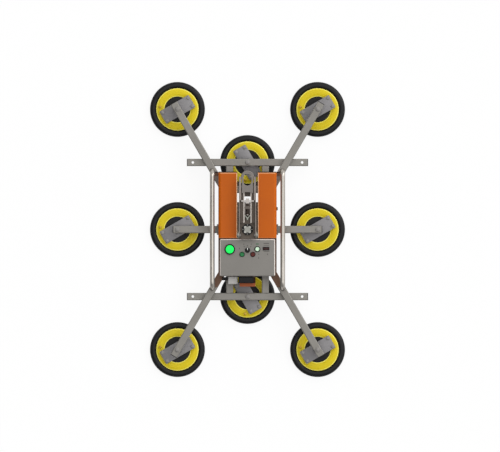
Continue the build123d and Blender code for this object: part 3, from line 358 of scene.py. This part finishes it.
def round_bar(bm, radius, low, high, place=Matrix(), sides=32, edge=0.6):
    """Adds a bar along Z between two heights, with its end edges rounded; six sides make a hexagon."""
    made = bmesh.ops.create_cone(
        bm, cap_ends=True, segments=sides, radius1=radius, radius2=radius, depth=high - low,
        matrix=place @ at(0, 0, (low + high) / 2),
    )
    ends = [f for f in {f for v in made["verts"] for f in v.link_faces} if len(f.verts) == sides]
    edges = list({e for f in ends for e in f.edges})
    bmesh.ops.bevel(bm, geom=edges, offset=edge, segments=2, profile=0.5, affect="EDGES", material=-1)


def rounded_block(bm, low, high, corner=0.0, edge=0.6):
    """Adds a box between two corners, its upright edges rounded by corner and its other ones by edge."""
    box = bmesh.new()
    size = Vector(high) - Vector(low)
    place = Matrix.Translation((Vector(low) + Vector(high)) / 2) @ Matrix.Diagonal((*size, 1))
    bmesh.ops.create_cube(box, size=1, matrix=place)
    if corner:
        upright = [e for e in box.edges if abs(e.verts[0].co.z - e.verts[1].co.z) > 0.01]
        bmesh.ops.bevel(
            box, geom=upright, offset=corner, segments=8, profile=0.5, affect="EDGES", material=-1
        )
    if edge:
        sharp = [e for e in box.edges if e.calc_face_angle() > math.radians(40)]
        bmesh.ops.bevel(
            box, geom=sharp, offset=edge, segments=2, profile=0.5, affect="EDGES", material=-1
        )
    joined = bpy.data.meshes.new("box")
    box.to_mesh(joined)
    box.free()
    bm.from_mesh(joined)
    bpy.data.meshes.remove(joined)


for cup in CUPS:
    hub_top = node_box(f"cup_mount_{cup}")[1].z
    plate = bmesh.new()
    rounded_block(
        plate, (-PLATE_L / 2, -PLATE_W / 2, PLATE_LOW), (PLATE_L / 2, PLATE_W / 2, PLATE_TOP),
        corner=PLATE_CORNER_R, edge=0.8,
    )
    round_bar(plate, HUB_WELD_R, PLATE_TOP, PLATE_TOP + HUB_WELD_H, edge=3.5, sides=48)
    round_bar(plate, HUB_R, PLATE_TOP, hub_top, sides=48)
    finish_piece(
        f"swivel_plate_{cup}", plate, [plate_steel], "grey_steel", f"cup_{cup}",
        f"cup_mount_{cup}", place=cup_place[cup],
    )

# Rubber buffers: four short rubber columns between each swivel plate and its ring plate, which let
# the cup lean a little to a curved or uneven load.
PLATE_BOLT_X = 80
PLATE_BOLT_Y = 26
PLATE_BOLTS = [(x, y) for x in (-PLATE_BOLT_X, PLATE_BOLT_X) for y in (-PLATE_BOLT_Y, PLATE_BOLT_Y)]
BUFFER_R = 13

for cup in CUPS:
    buffers = bmesh.new()
    for x, y in PLATE_BOLTS:
        round_bar(buffers, BUFFER_R, RING_TOP, PLATE_LOW, at(x, y), edge=2.5)
    finish_piece(
        f"rubber_buffers_{cup}", buffers, [rubber], "cup_rubber", f"cup_{cup}",
        f"cup_mount_{cup}", place=cup_place[cup],
    )

# Plate bolts: zinc-plated hexagon bolts with washers, one through each corner of a swivel plate into
# its buffer.
WASHER_R = 10.5
WASHER_T = 1.2
BOLT_HEAD_R = 9
BOLT_TOP = 6
zinc_steel = ground_steel("zinc_plated_steel", "#7A7774", "#8C8986", along="Z")
for cup in CUPS:
    bolts = bmesh.new()
    for x, y in PLATE_BOLTS:
        round_bar(bolts, WASHER_R, PLATE_TOP, PLATE_TOP + WASHER_T, at(x, y), edge=0.3)
        head_low = PLATE_TOP + WASHER_T
        round_bar(bolts, BOLT_HEAD_R, head_low, PLATE_TOP + BOLT_TOP, at(x, y), sides=6, edge=1.0)
    finish_piece(
        f"plate_bolts_{cup}", bolts, [zinc_steel], "zinc_steel", f"cup_{cup}",
        f"cup_mount_{cup}", place=cup_place[cup],
    )

# Hose fittings: a small turned brass fitting screwed through each ring plate, with a hexagon foot
# and a rounded plug.
FITTING_PLACE_R = 96
FITTING_DEG = 142
FOOT_R, NECK_R, PLUG_R = 8, 6, 7
FOOT_TOP, NECK_TOP, PLUG_TOP = RING_TOP + 8, RING_TOP + 11, RING_TOP + 16
brass = ground_steel("turned_brass", "#8F7420", "#B5922F", along="Z", rough=0.35)
for cup in CUPS:
    fitting = bmesh.new()
    spot = Matrix.Rotation(math.radians(FITTING_DEG), 4, "Z") @ at(FITTING_PLACE_R, 0)
    round_bar(fitting, FOOT_R, RING_TOP, FOOT_TOP, spot, sides=6)
    round_bar(fitting, NECK_R, FOOT_TOP, NECK_TOP, spot)
    round_bar(fitting, PLUG_R, NECK_TOP, PLUG_TOP, spot, edge=1.5)
    finish_piece(
        f"hose_fitting_{cup}", fitting, [brass], "zinc_steel", f"cup_{cup}",
        f"cup_mount_{cup}", place=cup_place[cup],
    )

# Swivel bolts: one zinc-plated bolt through each hub and frame tube, with a washer under its head
# and its nut below the swivel plate.
TUBE = 40
SWIVEL_R = 8
SWIVEL_HEAD_R = 11.5
SWIVEL_HEAD_TOP = 8
SWIVEL_WASHER_R = 14
SWIVEL_WASHER_T = 1.5
SWIVEL_NUT_H = 9
NUT_GAP = 0.5
swivel_bolts = bmesh.new()
for cup in CUPS:
    tube_top = node_box(f"cup_mount_{cup}")[1].z + TUBE
    head_low = tube_top + SWIVEL_WASHER_T
    nut_low = PLATE_LOW - SWIVEL_NUT_H
    spot = at(cup_place[cup].translation.x, cup_place[cup].translation.y)
    round_bar(swivel_bolts, SWIVEL_WASHER_R, tube_top, head_low, spot, edge=0.4)
    round_bar(swivel_bolts, SWIVEL_HEAD_R, head_low, tube_top + SWIVEL_HEAD_TOP, spot, sides=6, edge=1.0)
    round_bar(swivel_bolts, SWIVEL_R, nut_low, PLATE_TOP, spot)
    round_bar(swivel_bolts, SWIVEL_HEAD_R, nut_low, PLATE_LOW - NUT_GAP, spot, sides=6)
finish_piece("swivel_bolts", swivel_bolts, [zinc_steel], "zinc_steel", "root", "cup_swivel_bolts")

# Crossbars: 40 mm square stainless tube with rounded corners, ground along its length, with a bolt
# hole near each end for a frame extension.
TUBE_STEEL = ("#7A7772", "#8A8781")


def soften(node, material, edge=0.6, rim=None):
    """Finishes a carried-over node: its material, merged triangles, and its sharp edges rounded by edge,
    with rim as the material of those where one is given."""
    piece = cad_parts[node]
    piece.data.materials.clear()
    piece.data.materials.append(material)
    for face in piece.data.polygons:
        face.use_smooth = True
    weld = piece.modifiers.new("weld", "WELD")
    weld.merge_threshold = 0.00001
    flat = piece.modifiers.new("flat", "DECIMATE")
    flat.decimate_type = "DISSOLVE"
    flat.angle_limit = math.radians(0.5)
    bevel = piece.modifiers.new("bevel", "BEVEL")
    bevel.width = edge / 1000
    bevel.segments = 2
    bevel.limit_method = "ANGLE"
    bevel.angle_limit = math.radians(35)
    even = piece.modifiers.new("even", "WEIGHTED_NORMAL")
    even.keep_sharp = True
    if rim:
        piece.data.materials.append(rim)
        bevel.material = 1


tube_steel_x = ground_steel("ground_tube_steel_across", *TUBE_STEEL, along="X")
soften("crossbars", tube_steel_x)

# Ladder frame: two rails, three cross members, the bearing's carrier plate and the middle arms'
# sleeves, all welded together and ground along the rails.
tube_steel_y = ground_steel("ground_tube_steel_along", *TUBE_STEEL)
soften("frame_ladder", tube_steel_y)

# Middle arms: square tube seated in the ladder's sleeves, each reaching out to a middle cup.
soften("middle_arms", tube_steel_x)

# Corner arms: square tube that leans 30 degrees out from the rails to the corner cups, each ground
# along its own length.
ARM_LEAN = math.radians(30.2)
for end, end_sign in (("upper", 1), ("lower", -1)):
    for side, side_sign in (("left", -1), ("right", 1)):
        lean = ARM_LEAN * end_sign * side_sign
        steel = ground_steel(f"ground_tube_steel_{end}_{side}", *TUBE_STEEL, turn=lean)
        soften(f"corner_arm_{end}_{side}", steel)


# Tube end caps: black polyethylene plugs pressed into the open tube ends.
def moulded_plastic(name, dark, light, rough=0.45, glow=0.0):
    """Injection-moulded plastic: even colour and a soft sheen over a fine grain, drawn 1.5 mm coarse."""
    grain_size = 0.0015
    patch = 0.03
    material, tree, shader = new_material(name)
    shader.inputs["Specular IOR Level"].default_value = 0.2
    shader.inputs["Emission Color"].default_value = linear(light)
    shader.inputs["Emission Strength"].default_value = glow
    coords = add(tree, "ShaderNodeTexCoord", {}).outputs["Object"]
    patches = add(tree, "ShaderNodeTexNoise", {"Vector": coords, "Scale": 1 / patch, "Detail": 3.0})
    grain = add(tree, "ShaderNodeTexNoise", {"Vector": coords, "Scale": 1 / grain_size, "Detail": 1.0})
    bump = add(tree, "ShaderNodeBump", {"Height": grain.outputs[0], "Strength": 0.2, "Distance": 0.0001})
    gloss = add(
        tree, "ShaderNodeMapRange",
        {"Value": patches.outputs[0], "To Min": rough - 0.06, "To Max": rough + 0.06},
    )
    tree.links.new(two_tone(tree, patches.outputs[0], dark, light), shader.inputs["Base Color"])
    tree.links.new(gloss.outputs[0], shader.inputs["Roughness"])
    tree.links.new(bump.outputs[0], shader.inputs["Normal"])
    return material


black_plastic = moulded_plastic("black_moulded_plastic", "#090909", "#121213")
soften("tube_end_caps", black_plastic)

# Push handles: bright stainless tube, bent at both ends and welded to the corner arms.
handle_steel = ground_steel(
    "polished_tube_steel", "#A6A199", "#B8B2AA", rough=0.3, metal=0.85, relief=0.01
)
soften("left_handle", handle_steel)
soften("right_handle", handle_steel)

# Weld beads: a rounded bead of weld round each handle's foot, left as it was laid.
weld_steel = ground_steel("laid_weld_steel", "#5E5A57", "#85807B", along="Z")
HANDLE_R = 13
WELD_R = 2.5
weld_in_r = HANDLE_R - 1
beads = bmesh.new()
for node in ("left_handle", "right_handle"):
    low, high = node_box(node)
    handle_x = (low.x + high.x) / 2
    for foot_y in (low.y + HANDLE_R, high.y - HANDLE_R):
        ring = spun(
            [(weld_in_r, low.z), (HANDLE_R + WELD_R, low.z), (weld_in_r, low.z + WELD_R + 1)], {}, steps=48
        )
        bmesh.ops.transform(ring, matrix=at(handle_x, foot_y), verts=ring.verts)
        joined = bpy.data.meshes.new("bead")
        ring.to_mesh(joined)
        ring.free()
        beads.from_mesh(joined)
        bpy.data.meshes.remove(joined)
finish_piece("handle_weld_beads", beads, [weld_steel], "grey_steel", "root", smooth_under=60)

# Chassis plate: laser-cut sheet that carries the pump, the reservoir, the covers and the box. Its dark
# brown coat, an orange coat darkened with painted shade, shows on the tabs over the corner arms. The
# upper tabs are grey lower down, and a near-black band of painted shade runs along its upper edge, past the
# covers' ends.
GREY_LOW_Y, GREY_TOP_Y = 200, 294
COVER_END_Y = 311


def fade(material, axis, start, end, colour, both_sides=True, above=None):
    """Lets a material's colour go over to another one from start to end along an axis of the object, in
    millimetres, at every height or only above one."""
    tree = material.node_tree
    shader = tree.nodes["Principled BSDF"]
    coords = add(tree, "ShaderNodeTexCoord", {}).outputs["Object"]
    split = add(tree, "ShaderNodeSeparateXYZ", {"Vector": coords})
    place = split.outputs[axis]
    if both_sides:
        place = add(tree, "ShaderNodeMath", {0: place}, operation="ABSOLUTE").outputs[0]
    share = add(
        tree, "ShaderNodeMapRange", {"Value": place, "From Min": start / 1000, "From Max": end / 1000}
    ).outputs[0]
    if above is not None:
        high = add(tree, "ShaderNodeMath", {0: split.outputs["Z"], 1: above / 1000}, operation="GREATER_THAN")
        share = add(tree, "ShaderNodeMath", {0: share, 1: high.outputs[0]}, operation="MULTIPLY").outputs[0]
    before = shader.inputs["Base Color"].links[0].from_socket
    mixed = add(tree, "ShaderNodeMix", {0: share, 6: before, 7: linear(colour)}, data_type="RGBA")
    tree.links.new(mixed.outputs[2], shader.inputs["Base Color"])


# The dark brown stands for an orange coat in shade: painted shade.
chassis_coat = powder_coat("dark_brown_coat_painted_shade", "#5C4334", "#6C5140", rough=0.5)
fade(chassis_coat, "Y", GREY_TOP_Y, GREY_TOP_Y - 3, "#77726D", both_sides=False)
fade(chassis_coat, "Y", GREY_LOW_Y, GREY_LOW_Y - 10, "#644A3A", both_sides=False)
# Near-black band past the covers' ends: painted shade.
fade(chassis_coat, "Y", COVER_END_Y - 2, COVER_END_Y, "#1E0602", both_sides=False)
soften("chassis_plate", chassis_coat, edge=0.4)

# Covers: folded 2 mm sheet with an orange powder coat. It is paler along the folds beside the lifting
# arm, at the upper ends and on its bevelled edges, a painted highlight.
orange_coat = powder_coat("orange_powder_coat", "#B25302", "#BB5A04", rough=0.45)
orange_painted_highlight = powder_coat("orange_coat_painted_highlight", "#E0A070", "#EDB080", rough=0.4)
SHEET_T = 2
FOLD_X = 59
FOLD_Y = COVER_END_Y - 3
PAINTED_HIGHLIGHT_W = 3
fold_z = node_box("left_cover")[1].z - SHEET_T
# Paler bands along the inner folds and at the upper ends: painted highlight.
fade(orange_coat, "X", FOLD_X + PAINTED_HIGHLIGHT_W, FOLD_X, "#F6C49A", above=fold_z)
fade(orange_coat, "Y", FOLD_Y - PAINTED_HIGHLIGHT_W, FOLD_Y, "#E09A68", both_sides=False, above=fold_z)
soften("left_cover", orange_coat, edge=2.2, rim=orange_painted_highlight)
soften("right_cover", orange_coat, edge=2.2, rim=orange_painted_highlight)

# Charging socket: hexagonal black plastic body with a round screwed cap, on the right cover's wall.
soften("charging_socket", black_plastic)

# Control box: pressed steel tray with rounded corners and a warm grey powder coat.
grey_coat = powder_coat("grey_powder_coat", "#797671", "#83807B", rough=0.5)
soften("control_box", grey_coat)

# Control panel: the box's pressed lid with a rounded rim. The rim is paler along its upper and side
# edges, a painted highlight.
LID_CORNER = 7
LID_ROUND = 6
lid_low, lid_high = node_box("control_panel")
lid_painted_highlight = ground_steel(
    "lid_rim_painted_highlight", "#D8CEC6", "#E8DFD8", along="X", rough=0.4, metal=0.3
)
lid = bmesh.new()
rounded_block(lid, lid_low, lid_high, corner=LID_CORNER, edge=0)
for rim_z, rounding in ((lid_high.z, LID_ROUND), (lid_low.z, 0.8)):
    rim = [e for e in lid.edges if all(abs(v.co.z - rim_z) < 0.01 for v in e.verts)]
    bmesh.ops.bevel(
        lid, geom=rim, offset=rounding, segments=5, profile=0.5, affect="EDGES", material=-1
    )
lid.normal_update()
# The rim's faces, except the lower ones, take the paler grey: a painted highlight.
for face in lid.faces:
    bright = 0.1 < face.normal.z < 0.95 and face.normal.y > -0.3
    face.material_index = 1 if bright else 0
finish_piece("panel_lid", lid, [grey_coat, lid_painted_highlight], "grey_coat", "root", "control_panel")

# Printed marks: three plain ticks round the selector, lines over and under the display and a few
# short ticks, in thin dark ink on the lid, and a green bar over the white button.
INK_T = 0.12
panel_z = lid_high.z
marks = bmesh.new()
for mark_x, mark_y, mark_w, mark_l, tilt in (
    (0, -88, 3, 8, 0), (-18, -93, 3, 8, 40), (18, -93, 3, 8, -40),
    (-21, -80, 7, 4, 0), (21, -80, 7, 4, 0),
    (-44, -104, 4, 8, 0), (61, -135, 6, 5, 0), (61, -155, 3, 11, 0), (110, -135, 5, 7, 0),
    (103, -76, 30, 4, 0), (103, -87, 30, 2, 0), (104, -120, 32, 3, 0),
):
    mark_place = at(mark_x, mark_y, panel_z + INK_T / 2) @ Matrix.Rotation(math.radians(tilt), 4, "Z")
    bmesh.ops.create_cube(marks, size=1, matrix=mark_place @ Matrix.Diagonal((mark_w, mark_l, INK_T, 1)))
ink = moulded_plastic("grey_ink", "#4A4744", "#575450", rough=0.6)
finish_piece("printed_marks", marks, [ink], "black_plastic", "root")
green_ink = moulded_plastic("green_ink", "#1E5A34", "#26683E", rough=0.6)
bar = bmesh.new()
bar_place = at(54, -79.5, panel_z + INK_T / 2)
bmesh.ops.create_cube(bar, size=1, matrix=bar_place @ Matrix.Diagonal((16, 4.5, INK_T, 1)))
finish_piece("printed_bar", bar, [green_ink], "black_plastic", "root")

# Signal lamp: a big green lens with a rounded crown, lit from inside, in a thick black bezel.
LAMP_X, LAMP_Y = -97, -108.5
LAMP_R = 22.5
LAMP_H = 12
LAMP_CROWN = 0.8
LAMP_BEZEL_R = 28.5
LAMP_BEZEL_H = 8
LAMP_GAP = 0.2
PANEL_DEPTH = 8
lamp_top = panel_z + LAMP_H
back_z = panel_z - PANEL_DEPTH
lens = spun(
    [(0, back_z), (LAMP_R, back_z), (LAMP_R, lamp_top - LAMP_CROWN), (0, lamp_top)],
    {2: 5}, steps=64,
)
green_lens = moulded_plastic("lit_green_lens", "#08D24C", "#10EC60", rough=0.22, glow=0.4)
finish_piece(
    "lamp_lens", lens, [green_lens], "green_lens", "root", "signal_lamp", place=at(LAMP_X, LAMP_Y)
)
bezel_in_r = LAMP_R + LAMP_GAP
bezel_top = panel_z + LAMP_BEZEL_H
lamp_bezel = spun(
    [(bezel_in_r, panel_z), (LAMP_BEZEL_R, panel_z), (LAMP_BEZEL_R, bezel_top), (bezel_in_r, bezel_top)],
    {2: 1.2, 3: 0.6}, steps=64,
)
lamp_bezel_plastic = moulded_plastic("lamp_bezel_plastic", "#020202", "#050505", rough=0.6)
finish_piece(
    "lamp_bezel", lamp_bezel, [lamp_bezel_plastic], "black_plastic", "root", "panel_bezels",
    place=at(LAMP_X, LAMP_Y),
)

# Push buttons: round plastic caps with a shallow dish for the finger, each in its moulded bezel.
BUTTON_R = 11
BUTTON_H = 6.5
BUTTON_GAP = 0.3
BUTTON_BEZEL_H = 4
DISH_R = 7.5
DISH_DEPTH = 1
cap_top = panel_z + BUTTON_H
bezel_in_r = BUTTON_R + BUTTON_GAP
bezel_top = panel_z + BUTTON_BEZEL_H
button_colours = {
    "white": ("#BFDDBF", "#D3EDD3", "#04170D", "#082014"),
    "green": ("#1D6638", "#257544", "#06180D", "#0A2013"),
    "red": ("#48160F", "#571D14", "#120605", "#1A0A08"),
}
for colour, (button_x, button_y, bezel_r) in {
    "white": (54, -107, 16.5), "green": (-29.5, -136, 14.5), "red": (29.5, -136, 14.5)
}.items():
    dark, light, bezel_dark, bezel_light = button_colours[colour]
    cap = spun(
        [
            (0, back_z), (BUTTON_R, back_z), (BUTTON_R, cap_top), (DISH_R + 1, cap_top),
            (DISH_R, cap_top - DISH_DEPTH), (0, cap_top - DISH_DEPTH),
        ],
        {2: 1.2, 3: 0.4, 4: 0.5}, steps=48,
    )
    cap_plastic = moulded_plastic(f"{colour}_button_plastic", dark, light, rough=0.3)
    finish_piece(
        f"{colour}_button_cap", cap, [cap_plastic], f"{colour}_plastic", f"{colour}_button",
        f"{colour}_button", place=at(button_x, button_y),
    )
    bezel = spun(
        [(bezel_in_r, panel_z), (bezel_r, panel_z), (bezel_r, bezel_top), (bezel_in_r, bezel_top)],
        {2: 1.2, 3: 0.5}, steps=48,
    )
    bezel_plastic = moulded_plastic(f"{colour}_bezel_plastic", bezel_dark, bezel_light)
    finish_piece(
        f"{colour}_button_bezel", bezel, [bezel_plastic], "black_plastic", "root",
        "panel_bezels", place=at(button_x, button_y),
    )

# Mode selector: black knob with a fluted skirt and a raised grip bar that carries a white pointer
# line, on its round base.
KNOB_Y = -113
KNOB_BASE_R = 14.5
KNOB_BASE_H = 3
SKIRT_R = 13.5
SKIRT_H = 6.5
GRIP_L = 26
GRIP_W = 9
GRIP_H = 19
FLUTES = 24
FLUTE_DEPTH = 0.9
SHAFT_R = 4
SHAFT_HOLE_R = 4.1
POINTER_W = 3
knob_z = panel_z + KNOB_BASE_H
grip_top = knob_z + GRIP_H
grip_end = GRIP_L / 2
base = spun(
    [(SHAFT_HOLE_R, panel_z), (KNOB_BASE_R, panel_z), (KNOB_BASE_R, knob_z), (SHAFT_HOLE_R, knob_z)],
    {2: 0.8}, steps=48,
)
finish_piece(
    "selector_base", base, [black_plastic], "black_plastic", "root", "panel_bezels", place=at(0, KNOB_Y)
)
knob = bmesh.new()
skirt = bmesh.ops.create_circle(
    knob, cap_ends=True, segments=4 * FLUTES, radius=SKIRT_R, matrix=at(0, 0, knob_z)
)
for vert in skirt["verts"]:
    angle = math.atan2(vert.co.y, vert.co.x)
    depth = FLUTE_DEPTH / 2 * (1 - math.cos(FLUTES * angle))
    vert.co.xy *= 1 - depth / SKIRT_R
rise = bmesh.ops.extrude_face_region(knob, geom=knob.faces[:])
raised = [v for v in rise["geom"] if isinstance(v, bmesh.types.BMVert)]
bmesh.ops.translate(knob, vec=(0, 0, SKIRT_H), verts=raised)
rounded_block(
    knob, (-GRIP_W / 2, -grip_end, knob_z), (GRIP_W / 2, grip_end, grip_top), corner=4.4, edge=1.2
)
round_bar(knob, SHAFT_R, back_z, knob_z)
finish_piece(
    "selector_knob", knob, [black_plastic], "black_plastic", "mode_selector", "mode_selector",
    place=at(0, KNOB_Y),
)
white_ink = moulded_plastic("white_pointer_ink", "#E2E2DE", "#F2F2EE", rough=0.5)
pointer = bmesh.new()
line_x = POINTER_W / 2
rounded_block(pointer, (-line_x, 0.5, grip_top - 1), (line_x, grip_end - 0.6, grip_top + 0.1), edge=0.2)
rounded_block(
    pointer, (-line_x, grip_end - 1, knob_z + SKIRT_H), (line_x, grip_end + 0.1, grip_top - 1), edge=0.2
)
finish_piece("selector_pointer", pointer, [white_ink], "white_plastic", "mode_selector", place=at(0, KNOB_Y))

# Display: a small dark red window in a black frame, with four plain bars of a level gauge in it.
SCREEN_X, SCREEN_Y = 101.5, -104.5
SCREEN_W, SCREEN_L = 36, 19
SCREEN_FRAME = 3
WINDOW_INSET = 2
BAR_W, BAR_L = 4, 8
BAR_PITCH = 7
BAR_RISE = 0.2
screen_top = panel_z + 2.5
window_top = panel_z + 1.2
screen = bmesh.new()
for side in (-1, 1):
    edge_x = SCREEN_X + side * (SCREEN_W - SCREEN_FRAME) / 2
    edge_y = SCREEN_Y + side * (SCREEN_L - SCREEN_FRAME) / 2
    rounded_block(
        screen, (edge_x - SCREEN_FRAME / 2, SCREEN_Y - SCREEN_L / 2, panel_z),
        (edge_x + SCREEN_FRAME / 2, SCREEN_Y + SCREEN_L / 2, screen_top), edge=0.5,
    )
    rounded_block(
        screen, (SCREEN_X - SCREEN_W / 2, edge_y - SCREEN_FRAME / 2, panel_z),
        (SCREEN_X + SCREEN_W / 2, edge_y + SCREEN_FRAME / 2, screen_top), edge=0.5,
    )
finish_piece("display_frame", screen, [black_plastic], "black_plastic", "root", "panel_bezels")
window = bmesh.new()
half_w, half_l = SCREEN_W / 2 - WINDOW_INSET, SCREEN_L / 2 - WINDOW_INSET
rounded_block(
    window, (SCREEN_X - half_w, SCREEN_Y - half_l, panel_z),
    (SCREEN_X + half_w, SCREEN_Y + half_l, window_top), edge=0.2,
)
dark_window = moulded_plastic("dark_red_window", "#1C0A09", "#2A1210", rough=0.15)
finish_piece("display_window", window, [dark_window], "black_plastic", "root", "panel_bezels")
gauge = bmesh.new()
for step in (-1.5, -0.5, 0.5, 1.5):
    bar_x = SCREEN_X + step * BAR_PITCH
    rounded_block(
        gauge, (bar_x - BAR_W / 2, SCREEN_Y - BAR_L / 2, window_top - BAR_RISE),
        (bar_x + BAR_W / 2, SCREEN_Y + BAR_L / 2, window_top + BAR_RISE), edge=0.1,
    )
gauge_red = moulded_plastic("dim_red_gauge", "#381411", "#451A15", rough=0.4)
finish_piece("display_gauge", gauge, [gauge_red], "red_plastic", "root")

# Battery tray: one folded strip of sheet with an orange powder coat that hooks behind the control
# box and ends in a flat lip. The coat is dark below the lip.
LIP_Z = 196
tray_coat = powder_coat("orange_powder_coat_of_tray", "#3A2318", "#4A2C1E", rough=0.5)
fade(tray_coat, "Z", LIP_Z - 4, LIP_Z, "#8C4A28", both_sides=False)
soften("battery_tray", tray_coat, edge=0.8)

# Battery pack: navy moulded case with a narrower terminal cover on top, held by the tray.
battery_case = moulded_plastic("navy_battery_case", "#030306", "#08080C")
soften("battery_pack", battery_case, edge=1.0)

# Valve block: machined aluminium with chamfered edges on the left rail, with a black sintered
# silencer in its side port.
BLOCK_SIDE_X = 106.5
block_aluminium = ground_steel("machined_aluminium", "#959390", "#AAA8A5", along="X", rough=0.5)
fade(block_aluminium, "X", BLOCK_SIDE_X + 0.1, BLOCK_SIDE_X + 0.5, "#1A1A1A")
soften("valve_block", block_aluminium, edge=0.5)

# Slewing pedestal: turned steel column on a square foot, coated black, with its thrust washer and
# the lock nut that holds the yoke down.
dark_coat = powder_coat("black_powder_coat", "#121212", "#1C1C1D", rough=0.4)
soften("slewing_pedestal", dark_coat)

# Yoke: base plate that turns on the pedestal, with two ears for the lifting arm, rest pads and the
# lock's catch. It is dark below, and paler on the upper edges of catch and ears, a painted highlight.
YOKE_HIGHLIGHT_Z = 285
yoke_steel = ground_steel("dark_yoke_steel_painted_highlight", "#453D36", "#5C534A", rough=0.5)
# Paler above this height, on the upper edges of catch and ears: painted highlight.
fade(yoke_steel, "Z", YOKE_HIGHLIGHT_Z - 0.5, YOKE_HIGHLIGHT_Z + 0.5, "#8B8D84", both_sides=False)
soften("yoke", yoke_steel)

# Hub: black octagonal flange with four rim screws, under a bright lobed cap with four screws.
FLANGE_TOP = 280
HUB_CAP_TOP = 284
hub_coat = powder_coat("black_hub_coat", "#020202", "#060606", rough=0.4)
fade(hub_coat, "Z", FLANGE_TOP + 0.05, FLANGE_TOP + 0.2, "#989790", both_sides=False)
fade(hub_coat, "Z", HUB_CAP_TOP + 0.2, HUB_CAP_TOP + 0.5, "#DADAD4", both_sides=False)
soften("hub_flange", hub_coat, edge=0.5)

# Lifting arm: a channel of two walls on a slotted floor, with a side bar along each wall. The floor
# is dark, and the bars, the walls' tops and the strips beside the slot are paler, a painted highlight.
SLOT_EDGE_X = 17
SLOT_HIGHLIGHT_X = 21.5
DARK_Z, BRIGHT_Z = 292, 304
arm_steel = ground_steel("lifting_arm_steel", "#423A33", "#544B43", rough=0.5)
# Paler strips beside the slot: painted highlight.
fade(arm_steel, "X", SLOT_HIGHLIGHT_X, SLOT_HIGHLIGHT_X - 1, "#D8D0C8")
fade(arm_steel, "X", SLOT_EDGE_X, SLOT_EDGE_X - 0.2, "#3A322B")
# Paler bars and walls' tops above this height: painted highlight.
fade(arm_steel, "Z", DARK_Z, BRIGHT_Z, "#857C75", both_sides=False)
soften("lifting_arm", arm_steel)

# Lifting eye: thick steel plate with a round head and an oval hole for the hoist's hook, welded on
# the arm's floor.
eye_steel = ground_steel("lifting_eye_steel", "#6E6864", "#7E7873")
# The eye's bevelled rim is paler: a painted highlight.
eye_painted_highlight = ground_steel("lifting_eye_painted_highlight", "#9C948D", "#B0A8A0")
soften("lifting_eye", eye_steel, edge=1.2, rim=eye_painted_highlight)

# Arm pivot bolts: headed shoulder bolts through the yoke's ears, each with its nut inside the wall.
soften("arm_pivot_bolts", zinc_steel)

# Tilt lock: T-shaped pull on a rod that holds the arm down by its wedge tip in the catch. The rod is
# dark, and the pull's block and bar are paler above the rod's top, a painted highlight.
ROD_TOP = 292
lock_steel = ground_steel("tilt_lock_steel", "#2C231C", "#3C3129", rough=0.4)
# Paler above the rod's top, on the pull's block and bar: painted highlight.
fade(lock_steel, "Z", ROD_TOP + 0.2, ROD_TOP + 2, "#A39D98", both_sides=False)
soften("tilt_lock", lock_steel)

# Return spring of the tilt lock: blued wire coiled round the rod between the rod's collar and the
# arm's guide, drawn as one fixed coil. The real spring shortens as the lock is pulled back.
SPRING_WIRE_R = 1.2
SPRING_TURNS = 5
STEPS_PER_TURN = 32
spring_low, spring_high = node_box("lock_spring")
spring_x = (spring_low.x + spring_high.x) / 2
spring_z = (spring_low.z + spring_high.z) / 2
coil_r = (spring_high.x - spring_low.x) / 2 - SPRING_WIRE_R
coil_run = spring_high.y - spring_low.y - 2 * SPRING_WIRE_R
coil = bmesh.new()
wire_end = at(coil_r, 0, SPRING_WIRE_R) @ Matrix.Rotation(math.pi / 2, 4, "X")
bmesh.ops.create_circle(coil, segments=10, radius=SPRING_WIRE_R, matrix=wire_end)
coil_steps = SPRING_TURNS * STEPS_PER_TURN
bmesh.ops.spin(
    coil, geom=coil.verts[:] + coil.edges[:], cent=(0, 0, 0), axis=(0, 0, 1),
    dvec=(0, 0, coil_run / coil_steps), angle=2 * math.pi * SPRING_TURNS, steps=coil_steps, use_merge=False,
)
bmesh.ops.holes_fill(coil, edges=[e for e in coil.edges if e.is_boundary], sides=0)
spring_steel = ground_steel("blued_spring_wire", "#2E2622", "#40352F", along="Z", rough=0.35)
along_rod = at(spring_x, spring_low.y, spring_z) @ Matrix.Rotation(-math.pi / 2, 4, "X")
spring = finish_piece(
    "return_spring", coil, [spring_steel], "zinc_steel", None, "lock_spring", place=along_rod
)
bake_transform(spring)

# Vacuum pump under the left cover: a motor against its valve head on a foot, in cast aluminium.
pump_aluminium = ground_steel("cast_pump_aluminium", "#8A8A8A", "#A3A3A2", rough=0.5)
soften("vacuum_pump", pump_aluminium)

# Vacuum reservoir under the right cover: domed steel cylinder on two saddles, coated black.
soften("vacuum_reservoir", dark_coat)
